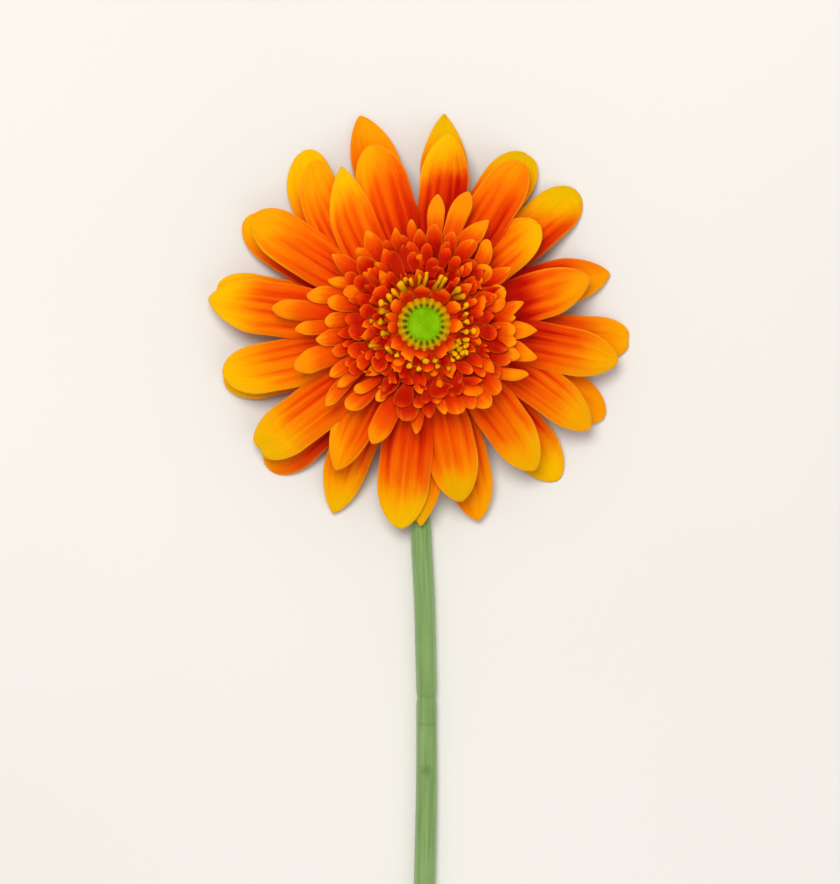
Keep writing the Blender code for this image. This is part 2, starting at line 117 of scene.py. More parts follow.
class Graph:
    def __init__(self, tree):
        self.tree = tree
        tree.nodes.clear()

    def add(self, kind, settings=None, sockets=None, out=0):
        # A node of any type; each socket takes a value, a wire or a list of wires
        node = self.tree.nodes.new(kind)
        for name, value in (settings or {}).items():
            if name == "stops":
                self.setStops(node.color_ramp, value)
            else:
                setattr(node, name, value)
        for key, value in (sockets or {}).items():
            for item in value if isinstance(value, list) else [value]:
                if isinstance(item, Wire):
                    self.tree.links.new(item.socket, node.inputs[key])
                else:
                    node.inputs[key].default_value = item
        return Wire(self, node.outputs[out]) if len(node.outputs) else node

    def setStops(self, ramp, stops):
        while len(ramp.elements) < len(stops):
            ramp.elements.new(1.0)
        for element, (position, colour) in zip(ramp.elements, stops.items()):
            element.position, element.color = position, lit(colour)

    def attributes(self, *names):
        return [self.add("ShaderNodeAttribute", {"attribute_name": name}, out=2) for name in names]

    def point(self, x, y, z):
        return self.add("ShaderNodeCombineXYZ", {}, {0: x, 1: y, 2: z})

    def vector(self, operation, first, second, out=0):
        key = "Scale" if operation == "SCALE" else 1
        return self.add("ShaderNodeVectorMath", {"operation": operation}, {0: first, key: second}, out)

    def noise(self, vector, scale, detail=3.0, roughness=0.5, out=0):
        return self.add("ShaderNodeTexNoise", {}, {"Vector": vector, "Scale": scale, "Detail": detail,
                                                   "Roughness": roughness}, out)

    def grain(self, scale, detail=3.0):
        # Noise on the piece's own coordinates, in metres
        return self.noise(self.add("ShaderNodeTexCoord", out=3), scale, detail)

    def streaks(self, across, along, seed, detail=3.0, roughness=0.5):
        # Noise drawn out along a piece by how fast each of its coordinates runs
        return self.noise(self.point(across, along, seed), 1.0, detail, roughness)

    def mix(self, factor, base, colour, blend="MIX"):
        over = colour if isinstance(colour, Wire) else lit(colour)
        return self.add("ShaderNodeMix", {"data_type": "RGBA", "blend_type": blend},
                        {0: factor, 6: base, 7: over}, out=2)

    def ramp(self, factor, stops):
        return self.add("ShaderNodeValToRGB", {"stops": stops}, {0: factor})

    def bump(self, height, distance, strength, under=None):
        sockets = {"Height": height, "Distance": distance, "Strength": strength}
        if under:
            sockets["Normal"] = under
        return self.add("ShaderNodeBump", {}, sockets)


def newMaterial(name, shader, look, constants=None):
    # The shader function gives what changes over the surface, the constants stay on the shader's own sockets
    mat = bpy.data.materials.new(name)
    mat.use_nodes = True
    g = Graph(mat.node_tree)
    surface = g.add("ShaderNodeBsdfPrincipled", {}, {**shader(g, look), **(constants or {})})
    g.add("ShaderNodeOutputMaterial", {}, {"Surface": surface})
    return mat


# Finishes. Colours are written as on a screen, ramps as position: colour, and relief is in metres


def skin(base, roughness, normal):
    return {"Base Color": base, "Roughness": roughness, "Normal": normal}


petalLook = {
    "ramp": {0.12: "B40800", 0.3: "D22800", 0.5: "EC4E00", 0.78: "F47800", 1.0: "FA9400"},
    "tip": "FFC200", "tipFrom": 0.66, "olive": "C4B400", "oliveFrom": 0.7, "oliveShare": 0.8,
    # The rim colour is a painted highlight along the petals' edges
    "rim": "FFA818", "rimShare": 0.45,
    "vein": "E04800", "veinShare": 0.35, "veinRelief": 0.00022, "grainRelief": 0.00003,
    # grooves is how much redder the petals are painted in their grooves, as painted shade
    "warmth": 0.75, "streaks": 0.5, "blotches": 0.25, "grooves": 0.34,
}


def petalShader(g, look):
    # Red-orange at the root, orange, then amber to a yellow tip, streaked along; redder in the grooves as
    # painted shade, with painted shade at some roots and a painted highlight along the edges
    share, across, seed, groove, warmth = g.attributes("share", "across", "seed", "groove", "warmth")
    edge, tip, olive, beyond, slant, flush = g.attributes("edge", "tip", "olive", "beyond", "slant", "flush")
    slant = slant * across
    streaks = g.streaks(across * 5.0 + seed * 9.0, share * 1.6, seed * 31.0, 4.0, 0.6)
    blotch = g.streaks(across * 1.3, share * 4.0, seed * 17.0, 2.0)
    ripe = share + warmth * look["warmth"] + slant + (streaks - 0.5) * look["streaks"]
    # Painted shade: the petals are redder in their grooves
    ripe = ripe + (blotch - 0.5) * look["blotches"] - groove * look["grooves"]
    # Painted shade: some petals stay redder partway out, where the florets and neighbouring petals shade
    # their roots
    ripe = ripe - abs(across) ** 3.0 * 0.06 - flush * share.step(0.38, 0.66, 1.0, 0.0)
    base = g.ramp(ripe, look["ramp"])
    tipEdge = share + (blotch - 0.5) * 0.16 + (streaks - 0.5) * 0.12 + abs(across) ** 4.0 * 0.04
    yellow = (tipEdge + slant * 0.3).step(look["tipFrom"], 1.0).larger(beyond * 0.5) * tip
    base = g.mix(yellow, base, look["tip"])
    green = (share + slant * 0.3 + (blotch - 0.5) * 0.5).step(look["oliveFrom"], 1.05) * olive
    base = g.mix(green * look["oliveShare"], base, look["olive"])
    # Painted highlight: a paler rim along the edges of each petal's outer part
    rim = edge.step(0.1, 0.75, 1.0, 0.0) * share.step(0.35, 0.8)
    base = g.mix(rim * look["rimShare"], base, look["rim"])
    veins = g.streaks(across * 26.0, share * 2.5, seed * 23.0, 3.0, 0.6)
    base = g.mix((veins - 0.35) * look["veinShare"], base, look["vein"], "MULTIPLY")
    grain = g.grain(1800.0, 2.0)
    relief = g.bump(grain, look["grainRelief"], 0.4, g.bump(veins, look["veinRelief"], 0.5))
    return skin(base, 0.5 + grain * 0.12, relief)


floretLooks = {
    # The rim colours are painted highlights along the florets' edges
    "outer": {"ramp": {0.25: "B40600", 0.52: "D42C00", 0.8: "E65600", 1.1: "F08600"},
              "rim": "FFA420", "rimShare": 0.35},
    "inner": {"ramp": {0.25: "B00600", 0.52: "D02000", 0.8: "E43E00", 1.1: "F47000"},
              "rim": "FC8818", "rimShare": 0.35},
    "collar": {"ramp": {0.25: "B41800", 0.52: "DC3C00", 0.8: "EE5600", 1.1: "FA8000"},
               "rim": "FC8C10", "rimShare": 0.4},
}


def floretShader(g, look):
    # Redder at the root, riper towards the tip and by the floret's own tint, with a paler rim in places as a
    # painted highlight
    share, across, tint = g.attributes("share", "across", "tint")
    streaks = g.streaks(across * 3.0 + tint * 50.0, share * 1.5, tint * 31.0)
    base = g.ramp(share ** 1.5 + (tint - 0.5) * 0.9 + (streaks - 0.5) * 0.3, look["ramp"])
    # Painted highlight: a paler rim along the sides and the tip, in places
    rim = (abs(across) ** 6.0).larger(share ** 12.0) * look["rimShare"] * (streaks * 3.0 - 0.7).larger(0.0)
    grain = g.grain(1500.0, 2.0)
    return skin(g.mix(rim, base, look["rim"]), 0.48 + grain * 0.12,
                g.bump(streaks * 0.7 + grain * 0.3, 0.0001, 0.5))


stamenLook = {"ramp": {0.0: "A06000", 0.45: "C08600", 0.8: "DE9A00", 1.0: "F2AC06"}, "relief": 0.00008}


def stamenShader(g, look):
    share, tint = g.attributes("share", "tint")
    mottled = g.grain(900.0)
    base = g.ramp(share + (tint - 0.5) * 0.5 + (mottled - 0.5) * 0.4, look["ramp"])
    return skin(base, 0.42 + mottled * 0.2, g.bump(mottled, look["relief"], 0.6))


buttonLook = {"ramp": {0.3: "6A9C00", 0.55: "78AE04", 0.8: "88BC12"}, "relief": 0.00008}


def buttonShader(g, look):
    fine = g.grain(2600.0)
    base = g.ramp(g.grain(260.0, 2.0) + (fine - 0.5) * 0.5, look["ramp"])
    return skin(base, 0.55 + fine * 0.2, g.bump(fine, look["relief"], 0.6))


discLook = {
    "ramp": {0.05: "7CA800", 0.25: "949600", 0.6: "C09600", 0.9: "D48400"}, "relief": 0.00006,
    "hollow": "4A2A00", "hollowShare": 0.75, "furrow": "8A7000", "furrowShare": 0.55,
}


def discShader(g, look):
    # Greenish by the button, yellow, then amber at the rim, with painted shade in the hollows and furrows
    # between the florets
    share, hollow, furrow = g.attributes("share", "hollow", "furrow")
    fine = g.grain(1400.0)
    base = g.ramp(share + (fine - 0.5) * 0.25, look["ramp"])
    # Painted shade: dark in the hollows between the florets by the button, and darker in the furrows between
    # their ribs
    base = g.mix(hollow.step(0.1, 0.75) * look["hollowShare"], base, look["hollow"])
    base = g.mix(furrow * look["furrowShare"], base, look["furrow"])
    return skin(base, 0.45 + fine * 0.2, g.bump(fine, look["relief"], 0.6))


calyxLook = {"ramp": {0.2: "2E4F1C", 0.5: "4C7430", 0.85: "6F9350"}, "relief": 0.00015}
hairLook = {"ramp": {0.2: "A9C69B", 0.5: "BFD6B2", 0.85: "D6E6CB"}, "relief": 0.00015}


def greenShader(g, look):
    share, across, tint = g.attributes("share", "across", "tint")
    streaks = g.streaks(across * 7.0, share * 1.2, tint * 31.0, 4.0)
    fine = g.grain(900.0)
    base = g.ramp(streaks * 0.6 + fine * 0.2 + (tint - 0.5) * 0.3 + share * 0.15, look["ramp"])
    return skin(base, 0.5 + fine * 0.2, g.bump(streaks * 0.6 + fine * 0.4, look["relief"], 0.6))


stemLook = {
    "ramp": {0.25: "5B7C3C", 0.45: "769655", 0.6: "86A765", 0.8: "9DBA83"}, "relief": 0.0002,
    "pith": {0.0: "DCE3B8", 0.55: "C2CF94", 0.8: "8FA65C", 1.0: "5F7A38"},
    "joint": "55713A", "jointAt": 104.0, "jointShare": 0.22, "down": "B4CBA6", "downShare": 0.5,
    "spot": "3F6A34", "spotAt": (4.1, 116.0, 0.0), "spotShare": 0.4, "halfRound": 8.6,
}


def stemShader(g, look):
    # Long pale and dark streaks, a darker spot, a fine joint line, a painted sheen that makes the sides paler
    # as light caught by the hairs would, and a cut face with a paler pith
    around, along, cut = g.attributes("around", "along", "cut")
    streaks = g.streaks(around * 14.0, along * 0.05, 0.0, 4.0, 0.6)
    patches = g.streaks(around * 2.0, along * 0.045, 4.0)
    fine = g.grain(2200.0)
    base = g.ramp(streaks * 0.5 + patches * 0.4 + fine * 0.1, look["ramp"])
    joint = 1.0 - abs(along - look["jointAt"]).step(0.25, 0.8)
    base = g.mix(joint * look["jointShare"], base, look["joint"])
    away = g.vector("DISTANCE", g.point(around * look["halfRound"], along, 0.0), look["spotAt"], out=1)
    base = g.mix((1.0 - away.step(0.3, 2.4)) * look["spotShare"], base, look["spot"])
    # Painted sheen: the left and right sides of the lying stem are paler, standing in for light caught by the
    # hairs
    base = g.mix(abs(around - 0.5).step(0.2, 0.44) * look["downShare"], base, look["down"])
    base = g.mix(cut.step(-0.2, 0.0), base, g.ramp(cut, look["pith"]))
    return skin(base, 0.55 + fine * 0.15, g.bump(streaks * 0.8 + fine * 0.2, look["relief"], 0.5))


softSkin = {"Subsurface Weight": 0.15, "Subsurface Radius": (1.0, 0.2, 0.03), "Subsurface Scale": 0.0015,
            "Specular IOR Level": 0.14, "Specular Tint": (1.0, 0.45, 0.1, 1.0)}
yellowGloss = {"Specular IOR Level": 0.18, "Specular Tint": (1.0, 0.75, 0.1, 1.0)}
greenGloss = {"Specular IOR Level": 0.1, "Specular Tint": (0.7, 1.0, 0.1, 1.0)}
plainGloss = {"Specular IOR Level": 0.25}
petalMaterial = newMaterial("petal skin", petalShader, petalLook, softSkin)
outerMaterial = newMaterial("outer floret skin", floretShader, floretLooks["outer"], softSkin)
innerMaterial = newMaterial("inner floret skin", floretShader, floretLooks["inner"], softSkin)
collarMaterial = newMaterial("collar skin", floretShader, floretLooks["collar"], softSkin)
stamenMaterial = newMaterial("stamen skin", stamenShader, stamenLook, yellowGloss)
buttonMaterial = newMaterial("button skin", buttonShader, buttonLook, greenGloss)
discMaterial = newMaterial("disc floret skin", discShader, discLook, yellowGloss)
calyxMaterial = newMaterial("calyx skin", greenShader, calyxLook, plainGloss)
stemMaterial = newMaterial("stem skin", stemShader, stemLook, plainGloss)
hairMaterial = newMaterial("hair skin", greenShader, hairLook)
print("materials made")


# Meshes


def newObject(name, data):
    obj = bpy.data.objects.new(name, data)
    bpy.context.scene.collection.objects.link(obj)
    return obj


def meshObject(name, bm, mat=None):
    mesh = bpy.data.meshes.new(name)
    bm.to_mesh(mesh)
    bm.free()
    mesh.shade_smooth()
    if mat:
        mesh.materials.append(mat)
    return newObject(name, mesh)


def frozen(obj):
    # The same object with its modifiers applied and gone, as a plain mesh
    depsgraph = bpy.context.evaluated_depsgraph_get()
    mesh = bpy.data.meshes.new_from_object(obj.evaluated_get(depsgraph))
    obj.modifiers.clear()
    obj.data = mesh
    return obj


def finishPiece(obj, slotName, *nodes):
    # Nothing moves on the flower, so every piece rides on its one body
    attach(obj, "root")
    if nodes:
        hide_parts(*nodes)
    print(obj.name, "has", len(obj.data.polygons), "faces")


def bridge(bm, rings):
    # Faces between each ring of points and the next
    for first, second in zip(rings, rings[1:]):
        for k, vert in enumerate(first):
            after = (k + 1) % len(first)
            bm.faces.new((vert, first[after], second[after], second[k]))


def newLayers(bm, *names):
    return [bm.verts.layers.float.new(name) for name in names]


def addBlade(bm, surface, along, across, values):
    # One sheet of a bent grid, finer towards its sides; values are the attributes that its points carry
    layers = {name: bm.verts.layers.float.get(name) or bm.verts.layers.float.new(name)
              for name in ("across", *values, *surface(0.0, 0.5)[1])}
    made = bmesh.ops.create_grid(bm, x_segments=along, y_segments=across, size=1)
    for vert in made["verts"]:
        u, v = sin(pi / 2 * vert.co.y), (vert.co.x + 1) / 2
        vert.co, own = surface(u, v)
        for name, value in {**values, **own, "across": u}.items():
            vert[layers[name]] = value


def thicken(obj, thickness, edgeShare):
    # Gives sheets their thickness, less towards the edges, where the attribute body is below 1
    group = obj.vertex_groups.new(name="body")
    for i, item in enumerate(obj.data.attributes["body"].data):
        group.add([i], item.value, "REPLACE")
    solid = obj.modifiers.new("thickness", "SOLIDIFY")
    solid.thickness = thickness
    solid.offset = 0
    solid.vertex_group = "body"
    solid.thickness_vertex_group = edgeShare
    return frozen(obj)


def outline(v, body, length, tipLength, blunt, rootShare, widens=1.0):
    # Distance from the root and half width at v along a blade: a widening part up to body, then a tip, which
    # stops just short of a point so that its last faces keep a width
    if v <= body:
        share = v / body
        return (length - tipLength) * share, rootShare + (1 - rootShare) * smoothStep(-0.2, widens, share)
    lastTurn = radians(88)
    rise = sin(lastTurn * (v - body) / (1 - body)) / sin(lastTurn)
    closing = (1 - (0.995 * rise) ** (1.7 + 0.4 * blunt)) ** (0.85 - 0.37 * blunt)
    return length - tipLength + tipLength * rise, closing


def ragged(amount, along, u, seed, apart=3.0):
    # How uneven a blade's width is here, on its own for each side
    return 1 + amount * noise.noise(Vector((along, apart if u > 0 else -apart, seed)))


def sideways(radius, angle, side, height):
    # The point at a distance and angle from the axis, moved to its counter-clockwise side
    out = polar(1, angle)
    return out * radius + Vector((-out.y, out.x, 0)) * side + Vector((0, 0, height))


# Ray petals: root angle, tip angle, reach, width, bluntness, notch, tip height, warmth, yellow, olive, slant,
# where slant above 0 makes the counter-clockwise side more amber and the other redder
backPetals = [
    (20, 16.2, 50.6, 12.3, 0.4, 0, 1.3, -0.05, 0.2, 0, -0.25),
    (41.5, 41.2, 53.6, 12.5, 1, 0, 0.5, 0.05, 0.9, 0.7, 0.36),
    (62, 59, 52.9, 13.4, 1, 0.12, 1.6, -0.08, 0.8, 0.7, 0.1),
    (80, 84.6, 56.1, 12.6, 0.05, 0, 0.9, -0.22, 1, 0.6, 0.1),
    (106, 106.8, 57.8, 12.4, 0.3, 0, 1.4, 0.08, 0.15, 0.15, -0.1),
    (139, 125.3, 56, 13.7, 1, 0, 0.5, 0.15, 1, 0, 0),
    (152, 149.4, 54.8, 12.6, 0.9, 0, 1.2, -0.02, 0.7, 0, -0.3),
    (170.5, 169.2, 55.3, 11.3, 0.9, 0, 0.5, 0.2, 1, 0, 0),
    (197.5, 195.7, 54.4, 12.4, 0.9, 0, 0.9, 0.15, 0.9, 0, 0),
    (222, 222.2, 55.2, 13.2, 0.95, 0, 0.5, -0.15, 0.2, 0, -0.3),
    (236, 243.8, 54.2, 11.7, 0.35, 0, 1.6, 0.1, 0.9, 0.35, 0),
    (270.5, 269, 52, 10.5, 0.1, 0, 7.2, 0.05, 0.5, 0.5, 0),
    (288.5, 285.8, 52.6, 11.8, 0.5, 0, 3, -0.08, 0.35, 0, 0.25),
    (314.5, 311.6, 53.3, 12.8, 0.7, 0, 0.5, -0.08, 0.9, 0.2, 0),
    (336.5, 333.7, 52.8, 12.3, 0.75, 0, 1.2, 0, 0.2, 0, 0),
    (355, 356.4, 54.3, 11.6, 1, 0.3, 0.5, -0.08, 0.5, 0, 0),
]
frontPetals = [
    (13.5, 16.2, 44.8, 12.5, 0.5, 0, 9, 0.1, 0.2, 0, -0.1),
    (43.5, 42, 39.9, 12.2, 0.9, 0, 11.5, 0.12, 0.7, 0.3, -0.3),
    (60.5, 59.2, 50, 12, 0.8, 0, 8, -0.05, 0.1, 0, 0.1),
    (81, 82.8, 50.8, 12.6, 0.4, 0, 8, -0.3, 1, 0.4, 0.2),
    (106, 106.3, 49.2, 13.3, 0.75, 0, 8.5, -0.08, 0.4, 0.4, 0.18),
    (139, 124.4, 52, 11.7, 0.9, 0, 6.5, 0.05, 0.3, 0.2, 0),
    (130.5, 117.6, 46.7, 12.3, 0.1, 0, 11, 0.15, 1, 0, 0),
    (149, 147, 53.1, 12.8, 0.8, 0, 7, 0.12, 0.3, 0.2, 0),
    (174.5, 172.7, 56.8, 14, 0.4, 0, 5.5, 0.12, 1, 0, 0.05),
    (197, 193.4, 54, 13, 0.9, 0, 6, 0.25, 0.9, 0.1, 0.15),
    (217.3, 216.9, 54.6, 13.4, 0.9, 0.5, 5.5, 0.2, 0.8, 0.4, 0),
    (230.5, 238.4, 43.9, 11.2, 0.4, 0, 11.5, 0.15, 0.2, 0, -0.25),
    (261.3, 263.1, 53.1, 13.5, 0.6, 0, 8, 0, 1, 0.3, 0),
    (282.5, 281.8, 46.6, 12.9, 0.6, 0, 10.5, 0.12, 0.5, 0.6, 0.1),
    (311.8, 307.8, 47.3, 12.3, 0.6, 0, 9, 0.14, 0.6, 0.4, 0),
    (335.5, 328.7, 50.8, 11.4, 0.6, 0, 7.5, 0.12, 0.4, 0.3, 0),
    (350.5, 350, 51.4, 12.3, 0.6, 0, 7, 0.04, 0.5, 0.2, -0.15),
]
petal = {
    "root": 10.5, "backRootZ": 20.3, "frontRootZ": 22.0, "stagger": 0.45, "thickness": 0.7, "edgeShare": 0.25,
    "tipPointed": 15.0, "tipBlunt": 9.5, "body": 4 / 7, "along": 50, "across": 24, "rootShare": 0.34,
    "widens": 0.75, "notch": 2.2, "swell": 0.3, "arch": 0.75, "curlUnder": 0.4, "tipDroop": 0.25, "wave": 0.6,
    "grooveDepth": 0.7, "grooveWidth": 0.11, "grooveShift": 0.08, "grooveSway": 0.07, "faintGroove": 0.35,
    "creaseDepth": 0.28, "creaseWidth": 0.014, "lowest": 0.36, "ragged": 0.03,
}
grooveLines = (-0.62, -0.22, 0.2, 0.6)

# Where a crease crosses a petal near its tip: tip angle of the petal, share of its length
creases = {84.6: 0.86, 311.6: 0.84, 216.9: 0.78, 149.4: 0.9, 41.2: 0.9, 106.8: 0.8}
noCrease = 2.0

# Petals with painted shade at their roots, kept redder farther out from the florets where these shade them:
# tip angle, by how much
paintedShadeAt = {16.2: 0.38, 42: 0.2, 350: 0.15, 328.7: 0.12}


def grooves(u, share, seed):
    # How deep a point lies in the long grooves, 0 to 1
    deepest = 0.0
    for i, line in enumerate(grooveLines):
        middle = line + spread(seed * 3 + i, -petal["grooveShift"], petal["grooveShift"])
        middle += petal["grooveSway"] * noise.noise(Vector((share * 2.2, i * 3.1, seed * 1.7)))
        strength = smoothStep(0.02, 0.2, share) * (1 - smoothStep(0.6 + 0.06 * (i % 3), 0.9, share))
        strength *= spread(seed * 5 + i * 2, petal["faintGroove"], 1.0)
        deepest = max(deepest, strength * exp(-((u - middle) / petal["grooveWidth"]) ** 2))
    return deepest


def petalSurface(spec, rowHeight, rootZ, seed):
    rootAngle, tipAngle, reach, width, blunt, notch, tipZ = spec[:7]
    length = reach - petal["root"]
    tipLength = petal["tipPointed"] + (petal["tipBlunt"] - petal["tipPointed"]) * blunt
    crease = creases.get(tipAngle, noCrease)

    def surface(u, v):
        away, wide = outline(v, petal["body"], length, tipLength, blunt, petal["rootShare"], petal["widens"])
        share = away / length
        notchDepth = petal["notch"] * notch * exp(-(u * wide / 0.3) ** 2) * smoothStep(0.85, 1, share)
        angle = rootAngle + (tipAngle - rootAngle) * share ** 1.5
        groove = grooves(u, share, seed)
        beside = u * wide
        height = rootZ + (tipZ - rootZ) * rowHeight(share)
        arch = petal["swell"] - petal["arch"] * beside ** 2 - petal["curlUnder"] * abs(beside) ** 6
        height += smoothStep(0.0, 0.3, share) * arch
        height -= petal["tipDroop"] * smoothStep(0.85, 1.0, share)
        height -= petal["grooveDepth"] * groove
        sway = noise.noise(Vector((u * 0.9, share * 2.6, seed * 2.37)))
        height += petal["wave"] * sway * smoothStep(0.1, 0.6, share)
        bend = crease + 0.03 * sin(u * 2.5 + seed)
        height -= petal["creaseDepth"] * exp(-((share - bend) / petal["creaseWidth"]) ** 2)
        # Low tips lie flat on the surface
        height = max(height, petal["lowest"] + 0.05 * (height - petal["lowest"]))
        side = u * width / 2 * wide * ragged(petal["ragged"], share * 6.0, u, seed * 1.9, 2.0)
        spot = sideways(petal["root"] + away - notchDepth, angle, side, height)
        body = (1 - 0.85 * abs(u) ** 5) * (1 - 0.8 * smoothStep(0.93, 1.0, v))
        edge = min((1 - abs(u)) * width / 2 * wide, length - away)
        return place(spot), {"share": share, "groove": groove, "body": body, "edge": edge,
                             "beyond": smoothStep(bend - 0.005, bend + 0.015, share)}

    return surface


def petalRow(name, specs, rowHeight, rootZ, firstSeed):
    bm = bmesh.new()
    for i, spec in enumerate(specs):
        surface = petalSurface(spec, rowHeight, rootZ + petal["stagger"] * (-1) ** i, firstSeed + i)
        values = dict(zip(("warmth", "tip", "olive", "slant"), spec[7:]))
        values["seed"] = spread(firstSeed + i, 0, 1)
        values["flush"] = paintedShadeAt.get(spec[1], 0.0)
        addBlade(bm, surface, petal["along"], petal["across"], values)
    obj = meshObject(name, bm, petalMaterial)
    finishPiece(thicken(obj, petal["thickness"] * mm, petal["edgeShare"]), "ray_petals", "ray_petals")


def backRowHeight(share):
    return 0.7 * share + 0.3 * smoothStep(0, 1, share)


def frontRowHeight(share):
    return share ** 1.5


petalRow("backPetals", backPetals, backRowHeight, petal["backRootZ"], 1)
petalRow("frontPetals", frontPetals, frontRowHeight, petal["frontRootZ"], 41)
print("ray petals made")


# Turned bodies


def rounded(points, cuts=5):
    # A smooth line through the points, by Catmull and Rom's rule
    line = []
    for i in range(len(points) - 1):
        before, start, end = points[max(i - 1, 0)], points[i], points[i + 1]
        after = points[min(i + 2, len(points) - 1)]
        for step in range(cuts):
            t = step / cuts
            line.append(tuple(0.5 * (2 * s + (e - b) * t + (2 * b - 5 * s + 4 * e - a) * t * t
                                     + (3 * s - b - 3 * e + a) * t ** 3)
                              for b, s, e, a in zip(before, start, end, after)))
    line.append(tuple(points[-1]))
    return line


def turnedPiece(name, points, steps, mat, node, tint=0.5):
    # A body of revolution round the bloom's axis: its profile is rounded from the axis at the top, out and
    # down, and closes with a flat underside to the last point
    bm = bmesh.new()
    shareLayer, acrossLayer, tintLayer = newLayers(bm, "share", "across", "tint")
    profile = rounded(points[:-1]) + points[-1:]
    rings = []
    for i, (radius, height) in enumerate(profile):
        rings.append([bm.verts.new(polar(radius, 360 * k / steps, height)) for k in range(steps)])
        for vert in rings[-1]:
            vert[shareLayer], vert[tintLayer] = i / (len(profile) - 1), tint
    bridge(bm, rings)
    bmesh.ops.remove_doubles(bm, verts=bm.verts, dist=0.001)
    bmesh.ops.recalc_face_normals(bm, faces=bm.faces)
    for vert in bm.verts:
        vert[acrossLayer] = atan2(vert.co.y, vert.co.x) / pi
        vert.co = place(vert.co)
    finishPiece(meshObject(name, bm, mat), node, node)


# Instances on points, by Geometry Nodes


def newTree(name, inputs):
    # A tree with geometry in and out and the named inputs, each of the type given
    tree = bpy.data.node_groups.new(name, "GeometryNodeTree")
    g = Graph(tree)
    for label, kind in {"Geometry": "Geometry", **inputs, "Material": "Material"}.items():
        tree.interface.new_socket(label, in_out="INPUT", socket_type="NodeSocket" + kind)
    tree.interface.new_socket("Geometry", in_out="OUTPUT", socket_type="NodeSocketGeometry")
    source = g.add("NodeGroupInput").socket.node
    return g, {socket.name: Wire(g, socket) for socket in source.outputs if socket.name}


def endTree(g, geometry, material):
    painted = g.add("GeometryNodeSetMaterial", {}, {"Geometry": geometry, "Material": material})
    g.add("NodeGroupOutput", {}, {0: painted})
    return g.tree


def grown(name, mesh, tree, values, mat):
    # A new object whose mesh is what a tree makes of the given one
    obj = newObject(name, mesh)
    modifier = obj.modifiers.new("grown", "NODES")
    modifier.node_group = tree
    values = {**values, "Material": mat}
    for item in tree.interface.items_tree:
        if item.in_out == "INPUT" and item.name in values:
            modifier[item.identifier] = values[item.name]
    frozen(obj)
    obj.data.materials.clear()
    obj.data.materials.append(mat)
    return obj


# What each point carries besides its place: the attribute, its type, and the field of its data
pointFields = [
    ("turn", "FLOAT_VECTOR", "vector"), ("size", "FLOAT_VECTOR", "vector"),
    ("kind", "INT", "value"), ("tint", "FLOAT", "value"),
]


def scatterTree(name, shapeLabels):
    # Sets one of the master shapes on each point, turned and sized by the point's own attributes
    g, given = newTree(name, {**dict.fromkeys(shapeLabels, "Object"), "Size": "Float", "Unevenness": "Float",
                              "Unevenness Scale": "Float", "Seed": "Int"})
    shapes = [g.add("GeometryNodeObjectInfo", {}, {"Object": given[label], "As Instance": True}, out=4)
              for label in reversed(shapeLabels)]
    turn, size, kind = [g.add("GeometryNodeInputNamedAttribute", {"data_type": dataType}, {"Name": label})
                        for label, dataType, field in pointFields[:3]]
    stood = g.add("GeometryNodeInstanceOnPoints", {}, {
        "Points": given["Geometry"], "Instance": g.add("GeometryNodeJoinGeometry", {}, {0: shapes}),
        "Pick Instance": True, "Instance Index": kind, "Rotation": turn,
        "Scale": g.vector("SCALE", size, given["Size"])})
    real = g.add("GeometryNodeRealizeInstances", {}, {0: stood})
    drift = g.vector("ADD", g.add("GeometryNodeInputPosition"), g.point(given["Seed"] * 0.37, 0.0, 0.0))
    wobble = g.noise(drift, given["Unevenness Scale"], 1.0, out=1)
    offset = g.vector("SCALE", g.vector("SUBTRACT", wobble, (0.5, 0.5, 0.5)), given["Unevenness"])
    moved = g.add("GeometryNodeSetPosition", {}, {"Geometry": real, "Offset": offset})
    return endTree(g, g.add("GeometryNodeSetShadeSmooth", {}, {"Geometry": moved}), given["Material"])


def scattered(name, spots, shapes, uneven, mat, node):
    # Makes a piece of shapes on spots: (root, turn, size, kind, tint), with the root and size in millimetres.
    # The shapes go, and uneven is how far the surface wanders, in metres, and how often
    mesh = bpy.data.meshes.new(name)
    mesh.from_pydata([place(spot[0]) for spot in spots], [], [])
    for column, (label, dataType, field) in enumerate(pointFields, 1):
        values = [spot[column] for spot in spots]
        if field == "vector":
            values = [value for row in values for value in row]
        mesh.attributes.new(label, dataType, "POINT").data.foreach_set(field, values)
    labels = [f"Shape {i + 1}" for i in range(len(shapes))]
    tree = scatterTree(name + " on points", labels)
    values = {**dict(zip(labels, shapes)), "Size": mm, "Seed": 1, "Unevenness": uneven[0],
              "Unevenness Scale": uneven[1]}
    finishPiece(grown(name, mesh, tree, values, mat), node, node)
    for shape in shapes:
        bpy.data.objects.remove(shape)


master = {"along": 12, "across": 8, "thickness": 0.15, "edgeShare": 0.35, "body": 0.5, "rootShare": 0.45,
          "ragged": 0.14, "groove": 0.05}


def floretMaster(name, shape, along=master["along"]):
    # One floret of length and width 1 that points along X: cupped or folded across, curled along
    def surface(u, v):
        away, wide = outline(v, master["body"], 1.0, shape["tip"], shape["blunt"], master["rootShare"])
        wide *= ragged(master["ragged"], away * 5.0, u, 40 * shape["cut"])
        lopsided = u * wide / 2 * shape["cut"] * smoothStep(0.3, 1, away)
        full = smoothStep(0.0, 0.5, away)
        height = shape["curl"] * away ** 3 + shape["cup"] * ((u * wide) ** 2 - 0.35) * full
        height += shape.get("fold", 0.0) * (abs(u * wide) - 0.5) * full
        height -= master["groove"] * exp(-(u / 0.25) ** 2) * smoothStep(0.1, 0.5, away)
        return Vector((away + lopsided, u * wide / 2, height)), {"share": away, "body": 1 - 0.7 * abs(u) ** 4}

    bm = bmesh.new()
    addBlade(bm, surface, along, master["across"], {})
    return thicken(meshObject(name, bm), master["thickness"], master["edgeShare"])


